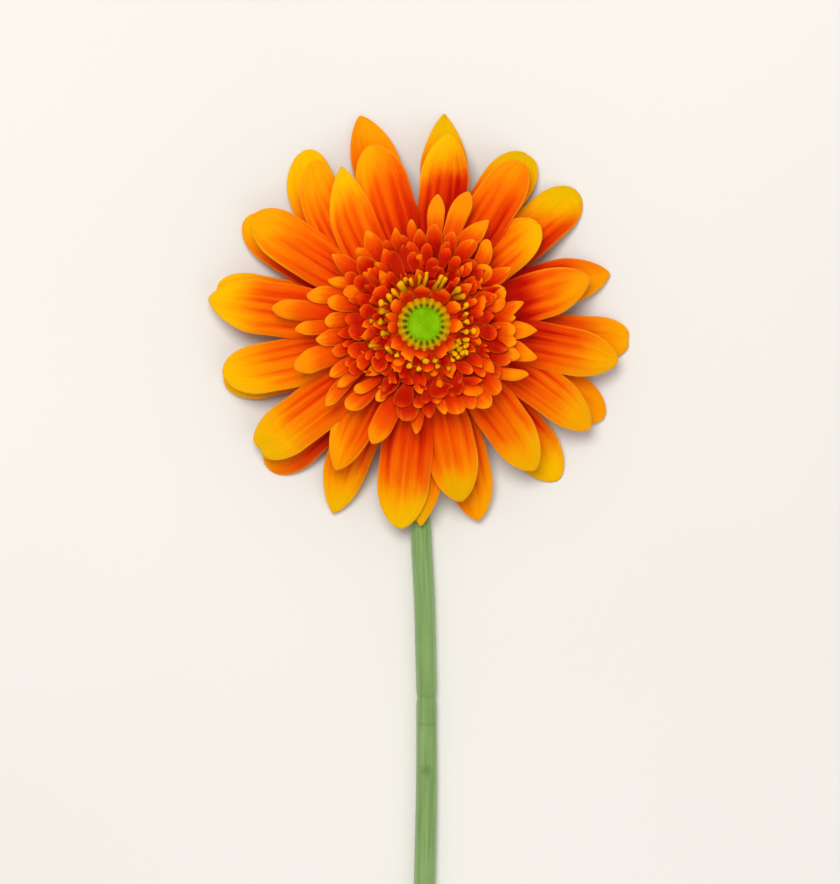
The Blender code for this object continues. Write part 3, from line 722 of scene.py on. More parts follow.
def aimed(root, tip, width, kind, roll, tint):
    # Root, turn and size of a shape that reaches from its root to its tip
    along = tip - root
    turn = (radians(roll), -atan2(along.z, hypot(along.x, along.y)), atan2(along.y, along.x))
    return root, turn, (along.length, width, width), kind, tint


def floretSpot(angle, rootRadius, rootZ, reach, tipZ, width, index, kinds, roll=14.0, lean=0.0):
    # A floret that grows outward from the axis, leaning to a side by up to lean degrees
    root = polar(rootRadius, angle, rootZ)
    tip = root + polar(reach - rootRadius, angle + spread(index * 3 + 1, -lean, lean), tipZ - rootZ)
    return aimed(root, tip, width, index * 7 % kinds, spread(index * 7 + 2, -roll, roll),
                 spread(index * 5 + 3, 0, 1))


# Outer florets: root angle, tip angle, reach, width, ripeness from red to amber, bluntness, and cut, which is
# how much farther the tip's counter-clockwise side reaches than the other
outerFlorets = [
    (3.5, 4.5, 23.5, 2.8, 0.55, 0.5, 0), (6, 12.6, 26.1, 4.8, 0.72, 0.15, 0.4),
    (22, 23.1, 22.6, 5.2, 0.7, 1, 0), (34, 33.4, 26.5, 4.4, 0.52, 0.25, -0.15),
    (41.5, 42.4, 22.4, 5, 0.65, 1, -0.3), (44.2, 52.5, 27.3, 4.2, 0.74, 0.85, 0.1),
    (63, 60.2, 25.1, 4.6, 0.45, 0.9, -0.3), (66, 58.5, 31.6, 5.5, 0.78, 0.15, 0),
    (71.1, 73, 24.9, 3.4, 0.3, 0.75, 0), (74.7, 71.5, 36.1, 5.2, 0.9, 0.5, 0),
    (83.2, 84.1, 26, 4.6, 0.3, 0.5, 0), (83.5, 84.1, 33.7, 4.3, 0.85, 0.4, 0),
    (93, 93, 24.5, 3.4, 0.3, 0.4, 0), (98.5, 97, 27.2, 2.4, 0.5, 0.3, 0),
    (103.8, 103.8, 23.6, 3.2, 0.1, 0.5, 0), (111.4, 106.6, 25.9, 3.2, 0.5, 0.1, 0),
    (116, 115, 23.8, 3.6, 0.1, 0.6, 0), (124, 121.7, 28.3, 5.5, 0.55, 0.35, 0),
    (131, 131.5, 26, 3, 0.5, 0.85, 0), (135.2, 134.5, 24.2, 5.8, 0.15, 0.6, 0.15),
    (143, 142.8, 29.8, 4.8, 0.5, 0.1, -0.2), (148.8, 155.2, 27.1, 3, 0.75, 0.4, 0),
    (151, 147, 24, 3.8, 0.2, 0.8, 0), (158.8, 165.8, 31.1, 4.6, 0.75, 0.6, 0),
    (165, 166.3, 25.5, 4.1, 0.7, 0.9, 0), (172.6, 173.6, 39.5, 5.2, 0.72, 0.5, 0),
    (175.5, 177.8, 25.5, 4, 0.65, 0.9, 0.1), (180.8, 181.8, 33.2, 3.7, 0.7, 0.5, 0),
    (187.4, 187.9, 28.1, 4.6, 0.62, 0.4, 0.25), (196.8, 198.2, 35.2, 6.2, 0.8, 0.6, 0),
    (196.8, 197.2, 24.6, 3.2, 0.3, 1, 0), (206, 208.5, 27.6, 3.4, 0.6, 0.6, 0),
    (213, 219.5, 32.8, 3.8, 0.62, 0.3, 0), (215, 215.7, 27.3, 2.6, 0.65, 0.5, 0),
    (230.5, 227.8, 29.3, 5, 0.6, 0.9, -0.15), (230.7, 223.8, 24.7, 2.8, 0.7, 1, 0.2),
    (239, 238.6, 23, 2.6, 0.8, 1, 0), (248.3, 246.4, 33.4, 6, 0.72, 0.5, 0),
    (259, 258.8, 25.2, 6, 0.05, 1, 0), (266, 265.8, 28.1, 3, 0.5, 0.3, 0),
    (273, 273, 24, 3.4, 0.1, 0.5, 0), (283, 283, 23.6, 4, 0.6, 0.3, 0),
    (291, 291.8, 24.6, 5.8, 0.45, 1, 0), (300.5, 300.5, 25, 4.5, 0.4, 0.7, 0),
    (304.8, 308.5, 27, 6, 0.6, 0.8, 0), (319, 318.6, 26, 4.6, 0.45, 1, -0.2),
    (323, 334.3, 29.7, 3.4, 0.85, 0.4, 0), (326, 326, 23.5, 4.8, 0.05, 0.9, 0),
    (337.5, 337.5, 24, 4.6, 0.3, 1, -0.15), (341, 341.8, 25.9, 3.8, 0.75, 0.6, -0.3),
    (345, 343.6, 30.2, 5.4, 0.8, 0.15, -0.4), (348.6, 348.6, 24, 3.3, 0.7, 0.8, 0.2),
    (356, 357, 29, 5, 0.85, 0.1, 0.1), (356.4, 356.6, 23.4, 3.9, 0.7, 1, -0.15),
]
floret = {
    "root": 14.6, "lowRootZ": 24.1, "highRootZ": 24.8, "tipZ": 27.2, "level": 25.0, "fall": 0.42, "arch": 0.5,
    "thickness": 0.62, "edgeShare": 0.3, "body": 0.5, "rootShare": 0.5, "along": 22, "across": 14,
    "tipScatter": (-0.5, 0.4), "hump": (0.35, 0.9), "usualWidth": 4.5, "hollow": 0.35, "slightHollow": 0.04,
    "wave": 0.35, "ragged": 0.09,
}


def floretSurface(index, rootAngle, tipAngle, reach, width, ripeness, blunt, cut):
    length = reach - floret["root"]
    rootZ = spread(2 * index, floret["lowRootZ"], floret["highRootZ"])
    tipZ = floret["tipZ"] - floret["fall"] * max(reach - floret["level"], 0.0)
    tipZ += spread(index, *floret["tipScatter"])
    tipLength = min((1.3 - 0.7 * blunt) * width, 0.6 * length)
    hump = spread(index * 3 + 1, *floret["hump"]) * width / floret["usualWidth"]
    hollow = floret["hollow"] if index % 5 == 1 else floret["slightHollow"]

    def surface(u, v):
        away, wide = outline(v, floret["body"], length, tipLength, blunt, floret["rootShare"])
        share = away / length
        angle = rootAngle + (tipAngle - rootAngle) * share ** 1.5
        height = rootZ + (tipZ - rootZ) * share ** 1.2 + floret["arch"] * sin(pi * share)
        height += hump * (0.4 - (u * wide) ** 2) * smoothStep(0.0, 0.4, share)
        height -= hollow * exp(-(u / 0.22) ** 2) * (1 - smoothStep(0.6, 0.95, share))
        height += floret["wave"] * noise.noise(Vector((u * 0.8, share * 2.0, index * 1.31)))
        side = u * width / 2 * wide * ragged(floret["ragged"], share * 5.0, u, index * 1.73)
        away += side * cut * smoothStep(0.3, 1.0, share)
        body = (1 - 0.8 * abs(u) ** 4) * (1 - 0.75 * smoothStep(0.85, 1.0, v))
        return place(sideways(floret["root"] + away, angle, side, height)), {
            "share": share, "body": body, "tint": ripeness}

    return surface


bm = bmesh.new()
for i, spec in enumerate(outerFlorets):
    addBlade(bm, floretSurface(i, *spec), floret["along"], floret["across"], {})
obj = meshObject("outerFlorets", bm, outerMaterial)
finishPiece(thicken(obj, floret["thickness"] * mm, floret["edgeShare"]), "outer_florets", "outer_florets")

# The shapes of the small florets, in their own length and width
floretShapes = {
    "scale": {"tip": 0.4, "blunt": 0.9, "cup": -0.16, "curl": -0.14, "cut": -0.12},
    "almond": {"tip": 0.6, "blunt": 0.1, "cup": -0.22, "curl": -0.1, "cut": 0.15},
    "square": {"tip": 0.2, "blunt": 1.0, "cup": -0.12, "curl": -0.08, "cut": 0.22},
    "keel": {"tip": 0.6, "blunt": 0.4, "cup": 0.0, "curl": -0.05, "fold": -0.45, "cut": 0.0},
    "leaf": {"tip": 0.55, "blunt": 0.4, "cup": -0.1, "curl": -0.2, "cut": -0.25},
    "cup": {"tip": 0.42, "blunt": 1.0, "cup": 0.2, "curl": 0.1, "cut": 0.1},
}
scale, almond, square, keel, leaf, cup = range(len(floretShapes))


def floretMasters():
    return [floretMaster(name, shape) for name, shape in floretShapes.items()]


# The inner florets that stand out: angle and distance of the tip, angle and distance of the root, width,
# shape, ripeness from red to amber
plainFlorets = [
    (52.4, 20, 52.4, 15.6, 2.8, almond, 0.9), (63.9, 19.3, 64, 14.8, 2.8, scale, 0.5),
    (56, 18, 56, 14, 1.8, almond, 0.8), (32, 17.2, 46, 16.6, 1.8, leaf, 0.45),
    (38, 14.5, 38, 10.5, 2.4, almond, 0.4), (25, 14.8, 25, 10.6, 2, scale, 0.7),
    (11.4, 15.2, 11.4, 11.5, 2.2, scale, 0.55), (7.2, 18.1, 5, 13.5, 3.4, almond, 0.35),
    (88, 20.7, 88, 15, 3.2, scale, 0.3), (73, 20.3, 74, 15, 3, scale, 0.35),
    (82, 17, 82, 12, 3.2, scale, 0.2), (99.5, 18.8, 99.5, 13.5, 3.2, scale, 0.3),
    (106, 21, 107, 14, 3.4, leaf, 0), (115, 20.5, 114, 13.5, 3.4, leaf, 0),
    (124.5, 16.1, 124.5, 12, 2.4, scale, 0.4), (110, 14.2, 111, 10.5, 1.2, keel, 0.35),
    (115, 14.2, 116, 10.5, 1.2, keel, 0.35), (143.5, 15.2, 143.5, 11, 4, square, 0.5),
    (146.9, 21.4, 146, 16, 3.7, scale, 0.3), (157.3, 18.9, 158, 14, 3.6, almond, 0.35),
    (176.4, 20.2, 176.4, 14.5, 3.5, scale, 0.35), (186, 22.4, 186, 17, 3.2, almond, 0.4),
    (187, 19.4, 186, 14, 4.4, scale, 0.3), (194.6, 21.4, 194.6, 18.4, 1.8, scale, 0.55),
    (202, 20.6, 200, 15.5, 4.2, scale, 0.5), (207, 22.6, 205, 19, 1.8, square, 0.55),
    (212, 20, 209, 14.5, 3.4, square, 0.5), (209.7, 17.2, 207, 13.4, 2, square, 0.5),
    (214, 14.9, 212, 11.6, 2, square, 0.4), (217.4, 19.8, 226, 17.9, 1.2, almond, 0.6),
    (221, 17.2, 220, 12.5, 4.4, cup, 0.3), (239, 17.6, 237, 14.2, 1.8, almond, 0.6),
    (233.8, 19.8, 243.2, 18.8, 1.2, almond, 0.65), (253.5, 22, 256, 16, 5, scale, 0.1),
    (265.5, 21.4, 267, 18.2, 2.8, scale, 0.6), (271, 20.2, 273, 15.5, 3, scale, 0.1),
    (283, 19.3, 283, 14.5, 5, scale, 0.15), (298, 20.2, 297, 15.4, 3.8, scale, 0.05),
    (316, 20.6, 302, 17.6, 2.2, almond, 0.6), (316, 17.2, 307, 12.8, 3, scale, 0.6),
    (323.6, 18.5, 326, 13.5, 3, almond, 0.6), (341, 17.2, 340, 13.8, 1.2, keel, 0.5),
    (337, 18.2, 337, 14.8, 1.2, keel, 0.55), (333, 18.6, 334, 15, 1.2, keel, 0.5),
    (353, 18.8, 353, 13.5, 4, scale, 0.3), (358, 19.4, 358, 16.5, 1.6, scale, 0.45),
    (351, 14.2, 351, 11, 3.2, scale, 0.75), (297, 15.4, 296, 11.8, 2.2, almond, 0.8),
    (274.8, 12, 275, 9.2, 3.2, scale, 0.55), (167, 16.8, 167, 12.6, 3.6, scale, 0.4),
    (259, 15.4, 246, 14.4, 2, leaf, 0.35), (272, 16.8, 260, 15.6, 1.8, almond, 0.25),
    (295, 17.6, 283, 16.4, 1.8, almond, 0.3), (244, 16.6, 232, 15.8, 1.9, leaf, 0.5),
    (203, 17.4, 214, 16.8, 1.6, almond, 0.55),
]
crowd = {
    "tipZ": 30.5, "tipFall": 0.27, "flat": 13.0, "rise": 1.7, "apart": 1.7, "beside": 0.45, "over": 0.75,
    "roll": 26.0, "lean": 20.0, "plainRoll": 8, "ringTurn": 0.37, "aside": 4, "reachScatter": (-1.4, 1.0),
    "heightScatter": (-0.6, 0.4), "widthScatter": (0.72, 1.25), "uneven": (0.0007, 260.0),
}


def crowdHeight(radius):
    # How high a floret's tip stands at a distance from the axis
    return crowd["tipZ"] - crowd["tipFall"] * max(radius - crowd["flat"], 0.0)


innerSpots = []
for i, (tipAngle, reach, rootAngle, rootRadius, width, kind, tint) in enumerate(plainFlorets):
    root = polar(rootRadius, rootAngle, crowdHeight(rootRadius) - crowd["rise"])
    tip = polar(reach, tipAngle, crowdHeight(reach))
    innerSpots.append(aimed(root, tip, width, kind, spread(i, -crowd["plainRoll"], crowd["plainRoll"]), tint))

# The rest fill in, in rings of root distance and height, reach and tip height, number and width
innerRings = [
    (14, 26.1, 21.8, 27.6, 25, 4.2), (13, 26.6, 19.8, 28.2, 26, 3.8), (12.2, 27, 17.8, 28.8, 26, 3.5),
    (11.2, 27.2, 15.9, 29.3, 25, 3.1), (10, 27.4, 14.2, 29.7, 22, 2.8), (8.8, 27.8, 12.4, 29.8, 18, 2.5),
]


def liftAt(angle, reach):
    # How far a tip here is lifted to lie over the roots of the florets that stand out, or None where it
    # would cover their outer half
    spot, lift = polar(reach, angle), 0.0
    for tipAngle, tipReach, rootAngle, rootRadius, width, kind, tint in plainFlorets:
        tip, root = polar(tipReach, tipAngle), polar(rootRadius, rootAngle)
        share = min(max((spot - root).dot(tip - root) / (tip - root).length_squared, 0.0), 1.0)
        over = (spot - root.lerp(tip, share)).length < crowd["beside"] * width
        if (spot - tip).length < crowd["apart"] or over and share > 0.5:
            return None
        if over:
            lift = crowd["over"]
    return lift


for ring, (root, rootZ, reach, tipZ, number, width) in enumerate(innerRings):
    for i in range(number):
        index = 7 * ring + i
        angle = 360 * (i + crowd["ringTurn"] * ring) / number + spread(index, -crowd["aside"], crowd["aside"])
        tipReach = reach + spread(index * 7 + 5, *crowd["reachScatter"])
        lift = liftAt(angle, tipReach)
        if lift is None:
            continue
        height = tipZ + spread(index * 4 + 9, *crowd["heightScatter"]) + lift
        wide = width * spread(index * 2, *crowd["widthScatter"])
        innerSpots.append(floretSpot(angle, root, rootZ, tipReach, height, wide, index, cup, crowd["roll"],
                                     crowd["lean"]))
scattered("innerFlorets", innerSpots, floretMasters(), crowd["uneven"], innerMaterial, "inner_florets")
print("inner florets made,", len(innerSpots), "in all")

# Collar petals round the disc: angle, reach, width, shape, ripeness
collarPetals = [
    (93, 9.9, 4.8, almond, 0.4), (60, 10, 5.2, scale, 0.25), (31, 10.2, 3.4, scale, 0.75),
    (0, 9.9, 3.8, almond, 1), (325, 9.4, 4, leaf, 0.45), (300, 9.2, 4.4, scale, 0.5),
    (262, 9, 3.6, almond, 0.6), (240, 9.9, 3.6, square, 0.7), (216, 10.2, 4.4, almond, 0.6),
    (188, 9.2, 2.8, scale, 0.5), (171, 9.9, 2.4, leaf, 0.65), (151, 9.9, 3.4, scale, 0.65),
    (122, 9.8, 4.2, leaf, 0.3),
]
collar = {"root": 6.2, "rootZ": 28.4, "lowTip": 30.2, "highTip": 30.8, "lean": 6, "roll": 14,
          "uneven": (0.0005, 400.0)}
collarSpots = []
for i, (angle, reach, width, kind, tint) in enumerate(collarPetals):
    lean = spread(i * 3 + 1, -collar["lean"], collar["lean"])
    tip = polar(reach, angle + lean, spread(i + 4, collar["lowTip"], collar["highTip"]))
    roll = spread(i * 7 + 2, -collar["roll"], collar["roll"])
    collarSpots.append(aimed(polar(collar["root"], angle, collar["rootZ"]), tip, width, kind, roll, tint))
scattered("collarPetals", collarSpots, floretMasters(), collar["uneven"], collarMaterial, "collar_petals")
print("florets made")


# Stamens


def rodMaster(name, profile, sides=10):
    # A turned rod along +X, of length 1; profile gives distance along and radius
    bm = bmesh.new()
    [share] = newLayers(bm, "share")
    rings = []
    for away, radius in profile:
        turns = [2 * pi * k / sides for k in range(sides)]
        rings.append([bm.verts.new((away, radius * cos(turn), radius * sin(turn))) for turn in turns])
        for vert in rings[-1]:
            vert[share] = away
    bridge(bm, rings)
    bm.faces.new(list(reversed(rings[0])))
    bm.faces.new(rings[-1])
    bmesh.ops.recalc_face_normals(bm, faces=bm.faces)
    return meshObject(name, bm)


rod = [(0, 0.42), (0.6, 0.44), (0.8, 0.5), (0.9, 0.45), (0.97, 0.27), (1, 0.08)]
club = [(0, 0.22), (0.3, 0.24), (0.48, 0.38), (0.65, 0.5), (0.82, 0.47), (0.95, 0.28), (1, 0.08)]

# Stamens: angle and distance of the tip, angle and distance of the root, width, 0 for a rod or 1 for a club
stamens = [
    (95, 12.9, 98.2, 9.8, 1.1, 0), (86.9, 13.5, 91, 9.5, 1.1, 0), (107.3, 12.3, 107, 10.2, 1.2, 0),
    (70, 13.4, 75.4, 9.2, 1.15, 0), (65, 13.2, 66.6, 9.5, 1.15, 0), (45.6, 13.2, 46.5, 10.2, 1.7, 1),
    (34.1, 12.8, 40.9, 10.3, 1.5, 0), (26, 12.5, 20.3, 10.2, 1.3, 1), (14.5, 11.6, 12, 9.9, 1.3, 1),
    (3.3, 11.4, 3.3, 9.8, 1.5, 1), (-10.2, 11.4, -11.4, 9.6, 1.4, 1), (-21.3, 11.6, -22, 10.2, 1.3, 1),
    (-28.3, 10.9, -29, 9.4, 1.3, 1), (-35, 9.6, -48.7, 9.7, 1.2, 0), (-28, 12.4, -33, 11.1, 1.2, 1),
    (-33.8, 13.5, -35, 12, 1.3, 1), (-45, 12.5, -43, 11, 1.3, 1), (-88, 9.9, -88, 8.6, 1.9, 1),
    (-73, 10.2, -74, 8.9, 1.6, 1), (-73, 11.8, -72, 10.4, 1.4, 1), (-61, 13.4, -62, 12, 1.3, 1),
    (-110, 11.9, -108, 10.2, 1.6, 1), (-96.8, 11.9, -97, 10.6, 1.5, 1), (209.9, 11.4, 223.3, 11.1, 1.25, 0),
    (229, 10.9, 226, 9.7, 1.2, 1), (191.2, 11.5, 195.6, 9.4, 1.6, 1), (176.8, 11.9, 178, 10, 1.9, 1),
    (164.2, 12.1, 160, 9.6, 1.9, 1), (154.3, 13, 152, 10.8, 1.9, 1), (141, 12.1, 146.5, 9.9, 1.5, 1),
    (133, 12.3, 133.5, 8.8, 1.35, 1), (120.6, 12.6, 120.6, 9.4, 2.2, 0), (113.4, 12.9, 113, 11.2, 1.2, 1),
    (201.3, 15.1, 206.6, 12.5, 1.2, 0), (176.5, 14.1, 176.5, 12.4, 1.2, 1), (-7.6, 13.4, -8, 11.6, 1.7, 1),
    (-43.9, 11.4, -43, 9.6, 1.4, 1), (-37, 12.8, -36, 11, 1.5, 1), (-26.6, 12.7, -26, 11, 1.4, 1),
    (-26.3, 10.2, -27, 8.8, 1.3, 1), (-33.7, 10.4, -34, 8.9, 1.3, 1), (-35.3, 11.5, -36, 9.8, 1.4, 1),
    (-19.7, 12.2, -20, 10.6, 1.3, 1), (-52, 12.2, -51, 10.6, 1.2, 1),
]
stamen = {"rootZ": 29.7, "lowTip": 30.5, "highTip": 31.1, "uneven": (0.0009, 850.0)}
stamenSpots = []
for i, (tipAngle, reach, rootAngle, rootRadius, width, kind) in enumerate(stamens):
    root = polar(rootRadius, rootAngle, stamen["rootZ"])
    tip = polar(reach, tipAngle, spread(i * 5, stamen["lowTip"], stamen["highTip"]))
    stamenSpots.append(aimed(root, tip, width, kind, 0.0, spread(i * 3, 0, 1)))
rods = [rodMaster("rod", rod), rodMaster("club", club)]
scattered("stamenRods", stamenSpots, rods, stamen["uneven"], stamenMaterial, "stamens")
print("stamens made")


# The green button and its ring of disc florets

buttonProfile = [(0, 29.7), (2.2, 29.65), (3.6, 29.5), (4.2, 29.2), (4.4, 28.8), (4.4, 28.3), (0, 28.3)]
turnedPiece("button", buttonProfile, 64, buttonMaterial, "disc")
disc = {
    "florets": 20, "steps": 14, "rows": 22, "inside": 4.1, "outside": 6.85, "low": 28.3, "foot": 29.0,
    "rise": 0.85, "hollow": 1.2, "furrow": 0.35, "notch": 0.6, "bead": 0.5, "loose": 0.35, "uneven": 0.12,
    "underRim": 0.3,
}


def discPoint(angle, across):
    # Radius, height, hollow and furrow of a point between the inside and the rim. Florets on the side towards
    # the stem are looser
    rib = 0.5 + 0.5 * cos(radians(angle * disc["florets"]))
    below = smoothStep(0.3, 0.9, -sin(radians(angle)))
    loose = disc["loose"] + (1 - disc["loose"]) * below
    radius = disc["inside"] + (disc["outside"] - disc["inside"]) * across
    radius += (disc["bead"] * loose * (rib - 0.5) - 0.1 * below) * smoothStep(0.7, 1.0, across)
    slot = int(angle / 360 * disc["florets"])
    reachOut = spread(slot * 3, 0.48, 0.72)
    gap = (1 - rib) ** 2.2 * smoothStep(0.05, 0.2, across)
    gap *= (1 - smoothStep(reachOut - 0.3, reachOut, across)) * spread(slot * 5, 0.65, 1.0)
    height = disc["foot"] + disc["rise"] * sin(pi * min(0.12 + 0.8 * across, 1.0)) ** 0.7
    height -= disc["hollow"] * gap + disc["furrow"] * (1 - rib) ** 2 * smoothStep(0.2, 0.6, across)
    height -= disc["notch"] * loose * (1 - rib) * smoothStep(0.6, 1.0, across)
    height += disc["uneven"] * noise.noise(polar(5, angle, across))
    return radius, height, gap, (1 - rib) ** 2


def discRing():
    # The florets round the button, fused at the rim: ribs with deep hollows between them by the button
    bm = bmesh.new()
    share, hollow, furrow = newLayers(bm, "share", "hollow", "furrow")
    count = disc["florets"] * disc["steps"]
    underside = [disc["outside"] - disc["underRim"], disc["inside"]]
    rings = []
    for j in range(disc["rows"] + len(underside)):
        across = min(j / (disc["rows"] - 1), 1.0)
        ring = []
        for k in range(count):
            angle = 360 * k / count
            radius, height, gap, depth = discPoint(angle, across)
            if j >= disc["rows"]:
                radius, height = underside[j - disc["rows"]], disc["low"]
            vert = bm.verts.new(polar(radius, angle, max(height, disc["low"])))
            vert[share], vert[hollow], vert[furrow] = across, gap, depth
            ring.append(vert)
        rings.append(ring)
    bridge(bm, rings + rings[:1])
    bmesh.ops.recalc_face_normals(bm, faces=bm.faces)
    for vert in bm.verts:
        vert.co = place(vert.co)
    finishPiece(meshObject("discFlorets", bm, discMaterial), "disc", "disc")


discRing()
print("disc made")


# The cup under the bloom, its bracts and the cores that the florets grow from

calyxCup = [(0, 19), (6, 19), (9.2, 18.8), (9.3, 17.6), (7.6, 15.2), (5.2, 13.2), (3.2, 12.05), (0, 12.02)]
turnedPiece("calyxCup", calyxCup, 48, calyxMaterial, "calyx")

# Rows of bracts: root distance and height, reach and tip height, number
bractRows = [(3.2, 12.7, 6.8, 14.9, 12), (4.6, 13.4, 8.9, 16.4, 15), (6.2, 14.6, 10.3, 17.4, 18)]
bract = {
    "shape": {"tip": 0.55, "blunt": 0.0, "cup": 0.12, "curl": 0.1, "cut": 0.0}, "along": 14, "width": 3.0,
    "roll": 6.0, "aside": 3, "uneven": (0.0003, 300.0),
}
bractSpots = []
for row, (rootRadius, rootZ, reach, tipZ, number) in enumerate(bractRows):
    for i in range(number):
        index = len(bractSpots)
        angle = 360 * (i + 0.5 * row) / number + spread(index, -bract["aside"], bract["aside"])
        bractSpots.append(floretSpot(angle, rootRadius, rootZ, reach, tipZ, bract["width"], index, 1,
                                     bract["roll"]))
scattered("bracts", bractSpots, [floretMaster("bract", bract["shape"], bract["along"])], bract["uneven"],
          calyxMaterial, "calyx")

petalBase = [(0, 23.6), (6, 23.6), (9.4, 23), (12, 22.2), (12.6, 21), (11, 19.8), (9.6, 19.2), (0, 19.1)]
floretBase = [(0, 28.2), (9.4, 28.15), (11.2, 27.6), (13.4, 26.85), (15, 25.85), (16, 24.8), (15.6, 23.5),
              (0, 23.5)]
turnedPiece("petalBase", petalBase, 48, petalMaterial, "ray_petals")
turnedPiece("floretBase", floretBase, 64, innerMaterial, "inner_florets", tint=0.9)
print("calyx and cores made")


# Stem

stem = {
    "width": 5.5, "narrow": 4.9, "bend": 7.5, "length": 250.0, "top": 11.7, "sides": 40, "ridges": 9,
    "ridge": 0.012, "uneven": 0.03, "lowest": 0.02, "capShares": (0.96, 0.8, 0.5, 0.2),
}

# Along the flat stretch: distance from the bloom's axis, shift to the right, share of the width
stemSway = [
    (30, -1.3, 0.98), (52, -0.9, 0.99), (71, 0, 1), (90, 0.5, 0.99), (95.4, 0.6, 0.97), (97, 0.6, 0.87),
    (98.6, 0.6, 0.97), (104, 0.6, 0.98), (122, 0.6, 1.01), (145, 0.1, 1.04), (175, -0.9, 1),
    (205, -1.6, 1.02), (235, -1.9, 1.05), (stem["length"], -2, 1.06),
]


def stemLine():
    # Points of the middle line with the radius there, from the calyx down to the cut end
    slim, rest = stem["narrow"] / 2, stem["width"] / 2
    points = [(0, 0, stem["top"], slim * 1.1), (0, 0, rest + stem["bend"], slim)]
    for step in range(1, 7):
        turn = radians(15 * step)
        points.append((0, -stem["bend"] * (1 - cos(turn)), rest + stem["bend"] * (1 - sin(turn)), slim))
    for away, shift, share in stemSway:
        points.append((shift, -away, rest * share, rest * share))
    return rounded(points, 12)


def capStem(bm, rim, end, layers):
    # Closes an end with rings of its own, so that the cut face can be shaded from rim to pith
    around, along, cut = layers
    centre = place(end[:3])
    rings = [rim]
    for share in stem["capShares"]:
        rings.append([bm.verts.new(centre + (old.co - centre) * share) for old in rim])
        for vert, old in zip(rings[-1], rim):
            vert[around], vert[along], vert[cut] = old[around], old[along], share
    bridge(bm, rings)
    bm.faces.new(rings[-1])


def stemPiece():
    bm = bmesh.new()
    layers = around, along, cut = newLayers(bm, "around", "along", "cut")
    line = stemLine()
    rings = []
    for i, (x, y, z, radius) in enumerate(line):
        ahead = Vector(line[min(i + 1, len(line) - 1)][:3]) - Vector(line[max(i - 1, 0)][:3])
        ahead.normalize()
        side = Vector((1, 0, 0)) - ahead * ahead.x
        side.normalize()
        up = side.cross(ahead)
        ring = []
        for k in range(stem["sides"]):
            turn = 2 * pi * k / stem["sides"]
            swell = stem["ridge"] * cos(stem["ridges"] * turn + 0.01 * y)
            swell += stem["uneven"] * noise.noise(Vector((cos(turn), sin(turn), y * 0.06)))
            spot = Vector((x, y, z)) + (side * cos(turn) + up * sin(turn)) * radius * (0.985 + swell * 0.5)
            spot.z = max(spot.z, stem["lowest"])
            vert = bm.verts.new(place(spot))
            vert[around], vert[along], vert[cut] = abs(turn / pi - 1), -y, -1.0
            ring.append(vert)
        rings.append(ring)
    bridge(bm, rings)
    capStem(bm, rings[0], line[0], layers)
    capStem(bm, rings[-1], line[-1], layers)
    bmesh.ops.recalc_face_normals(bm, faces=bm.faces)
    return meshObject("stemStalk", bm, stemMaterial)


# In metres. No hair grows where the surface faces down by more than Underside, or past Last on Y
hairs = {"Density": 900000.0, "Length": 0.00045, "Thickness": 0.00006, "Lean": 0.5, "Underside": -0.25,
         "Last": -0.1515}


def hairTree():
    # Short hairs that stand on the faces and lean a little, with none underneath and none at the cut end
    g, given = newTree("hairs on a surface", {**dict.fromkeys(hairs, "Float"), "Seed": "Int"})
    up = g.add("ShaderNodeSeparateXYZ", {}, {0: g.add("GeometryNodeInputNormal")}, out=2)
    away = g.add("ShaderNodeSeparateXYZ", {}, {0: g.add("GeometryNodeInputPosition")}, out=1)
    first, second = [g.add("FunctionNodeCompare", {"operation": "GREATER_THAN"}, {0: wire, 1: given[label]})
                     for wire, label in ((up, "Underside"), (away, "Last"))]
    points = g.add("GeometryNodeDistributePointsOnFaces", {}, {
        "Mesh": given["Geometry"], "Density": given["Density"], "Seed": given["Seed"],
        "Selection": g.add("FunctionNodeBooleanMath", {"operation": "AND"}, {0: first, 1: second})})
    cone = g.add("GeometryNodeMeshCone", {}, {"Vertices": 3, "Radius Top": 0.05, "Radius Bottom": 0.5,
                                              "Depth": 1.0})
    wild = g.add("FunctionNodeRandomValue", {"data_type": "FLOAT_VECTOR"},
                 {"Min": (-1.0, -1.0, -1.0), "Max": (1.0, 1.0, 1.0), "Seed": given["Seed"]})
    turned = g.add("FunctionNodeRotateEuler", {"rotation_type": "EULER", "space": "LOCAL"},
                   {"Rotation": Wire(g, points.socket.node.outputs["Rotation"]),
                    "Rotate By": g.vector("SCALE", wild, given["Lean"])})
    stood = g.add("GeometryNodeInstanceOnPoints", {}, {
        "Points": points, "Instance": cone, "Rotation": turned,
        "Scale": g.point(given["Thickness"], given["Thickness"], given["Length"])})
    return endTree(g, g.add("GeometryNodeRealizeInstances", {}, {0: stood}), given["Material"])


stalk = stemPiece()
finishPiece(stalk, "stem", "stem")
finishPiece(grown("stemHairs", stalk.data.copy(), hairTree(), {**hairs, "Seed": 5}, hairMaterial), "stem")
print("stem made")


# Floor, lights and camera

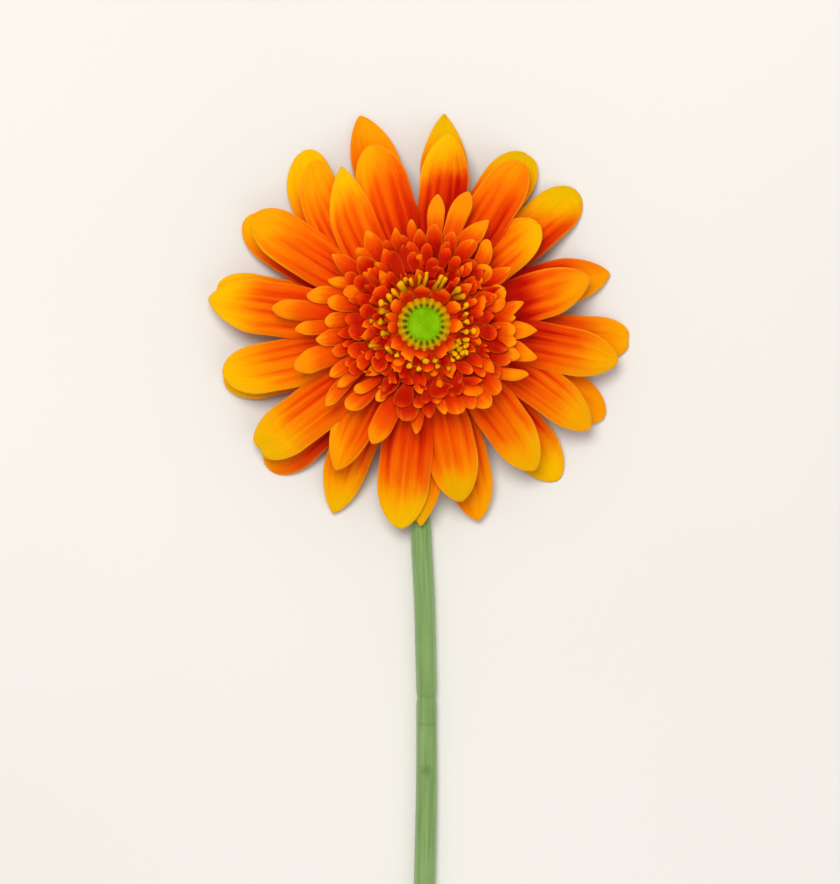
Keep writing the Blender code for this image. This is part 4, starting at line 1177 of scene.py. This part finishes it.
floorLook = {"ramp": {0.3: "E4E2DD", 0.7: "ECEAE6"}}
lamps = {
    "key": {"at": (-0.12, 0.38, 1.0), "wide": 0.5, "power": 7.0, "colour": (1.0, 0.97, 0.93)},
    "fill": {"at": (0.5, -0.5, 0.9), "wide": 0.9, "power": 1.6, "colour": (0.95, 0.98, 1.0)},
}
daylight = {"colour": (1.0, 0.98, 0.96, 1), "power": 0.52}


def floorShader(g, look):
    cloud = g.grain(3.0)
    return {"Base Color": g.ramp(cloud, look["ramp"]), "Roughness": 0.7 + cloud * 0.1}


bm = bmesh.new()
bmesh.ops.create_grid(bm, x_segments=1, y_segments=1, size=3.0)
floor = meshObject("floor", bm, newMaterial("floor paint", floorShader, floorLook))

for name, lamp in lamps.items():
    light = bpy.data.lights.new(name, "AREA")
    light.shape = "DISK"
    light.size, light.energy, light.color = lamp["wide"], lamp["power"], lamp["colour"]
    obj = newObject(name, light)
    obj.location = lamp["at"]
    obj.rotation_euler = (bloomAxis * mm - Vector(lamp["at"])).to_track_quat("-Z", "Y").to_euler()
world = bpy.data.worlds.new("studio")
world.use_nodes = True
world.node_tree.nodes["Background"].inputs[0].default_value = daylight["colour"]
world.node_tree.nodes["Background"].inputs[1].default_value = daylight["power"]
bpy.context.scene.world = world
bpy.context.scene.view_settings.view_transform = "Standard"

# The photograph looks straight at the face, 0.26 mm a pixel, with the bloom's axis left and above its middle
photo = {"wide": 840, "high": 884, "pixel": 0.26, "axisX": 424.2, "axisY": 326.0, "distance": 1200.0,
         "plane": 12.0, "sensor": 36.0}
camera = bpy.data.cameras.new("camera")
camera.sensor_width = photo["sensor"]
camera.lens = camera.sensor_width * photo["distance"] / (photo["high"] * photo["pixel"])
camera.clip_end = 10.0
seat = newObject("camera", camera)
seat.location = place(((photo["wide"] / 2 - photo["axisX"]) * photo["pixel"],
                       (photo["axisY"] - photo["high"] / 2) * photo["pixel"],
                       photo["plane"] + photo["distance"]))
bpy.context.scene.camera = seat
print("stage set")
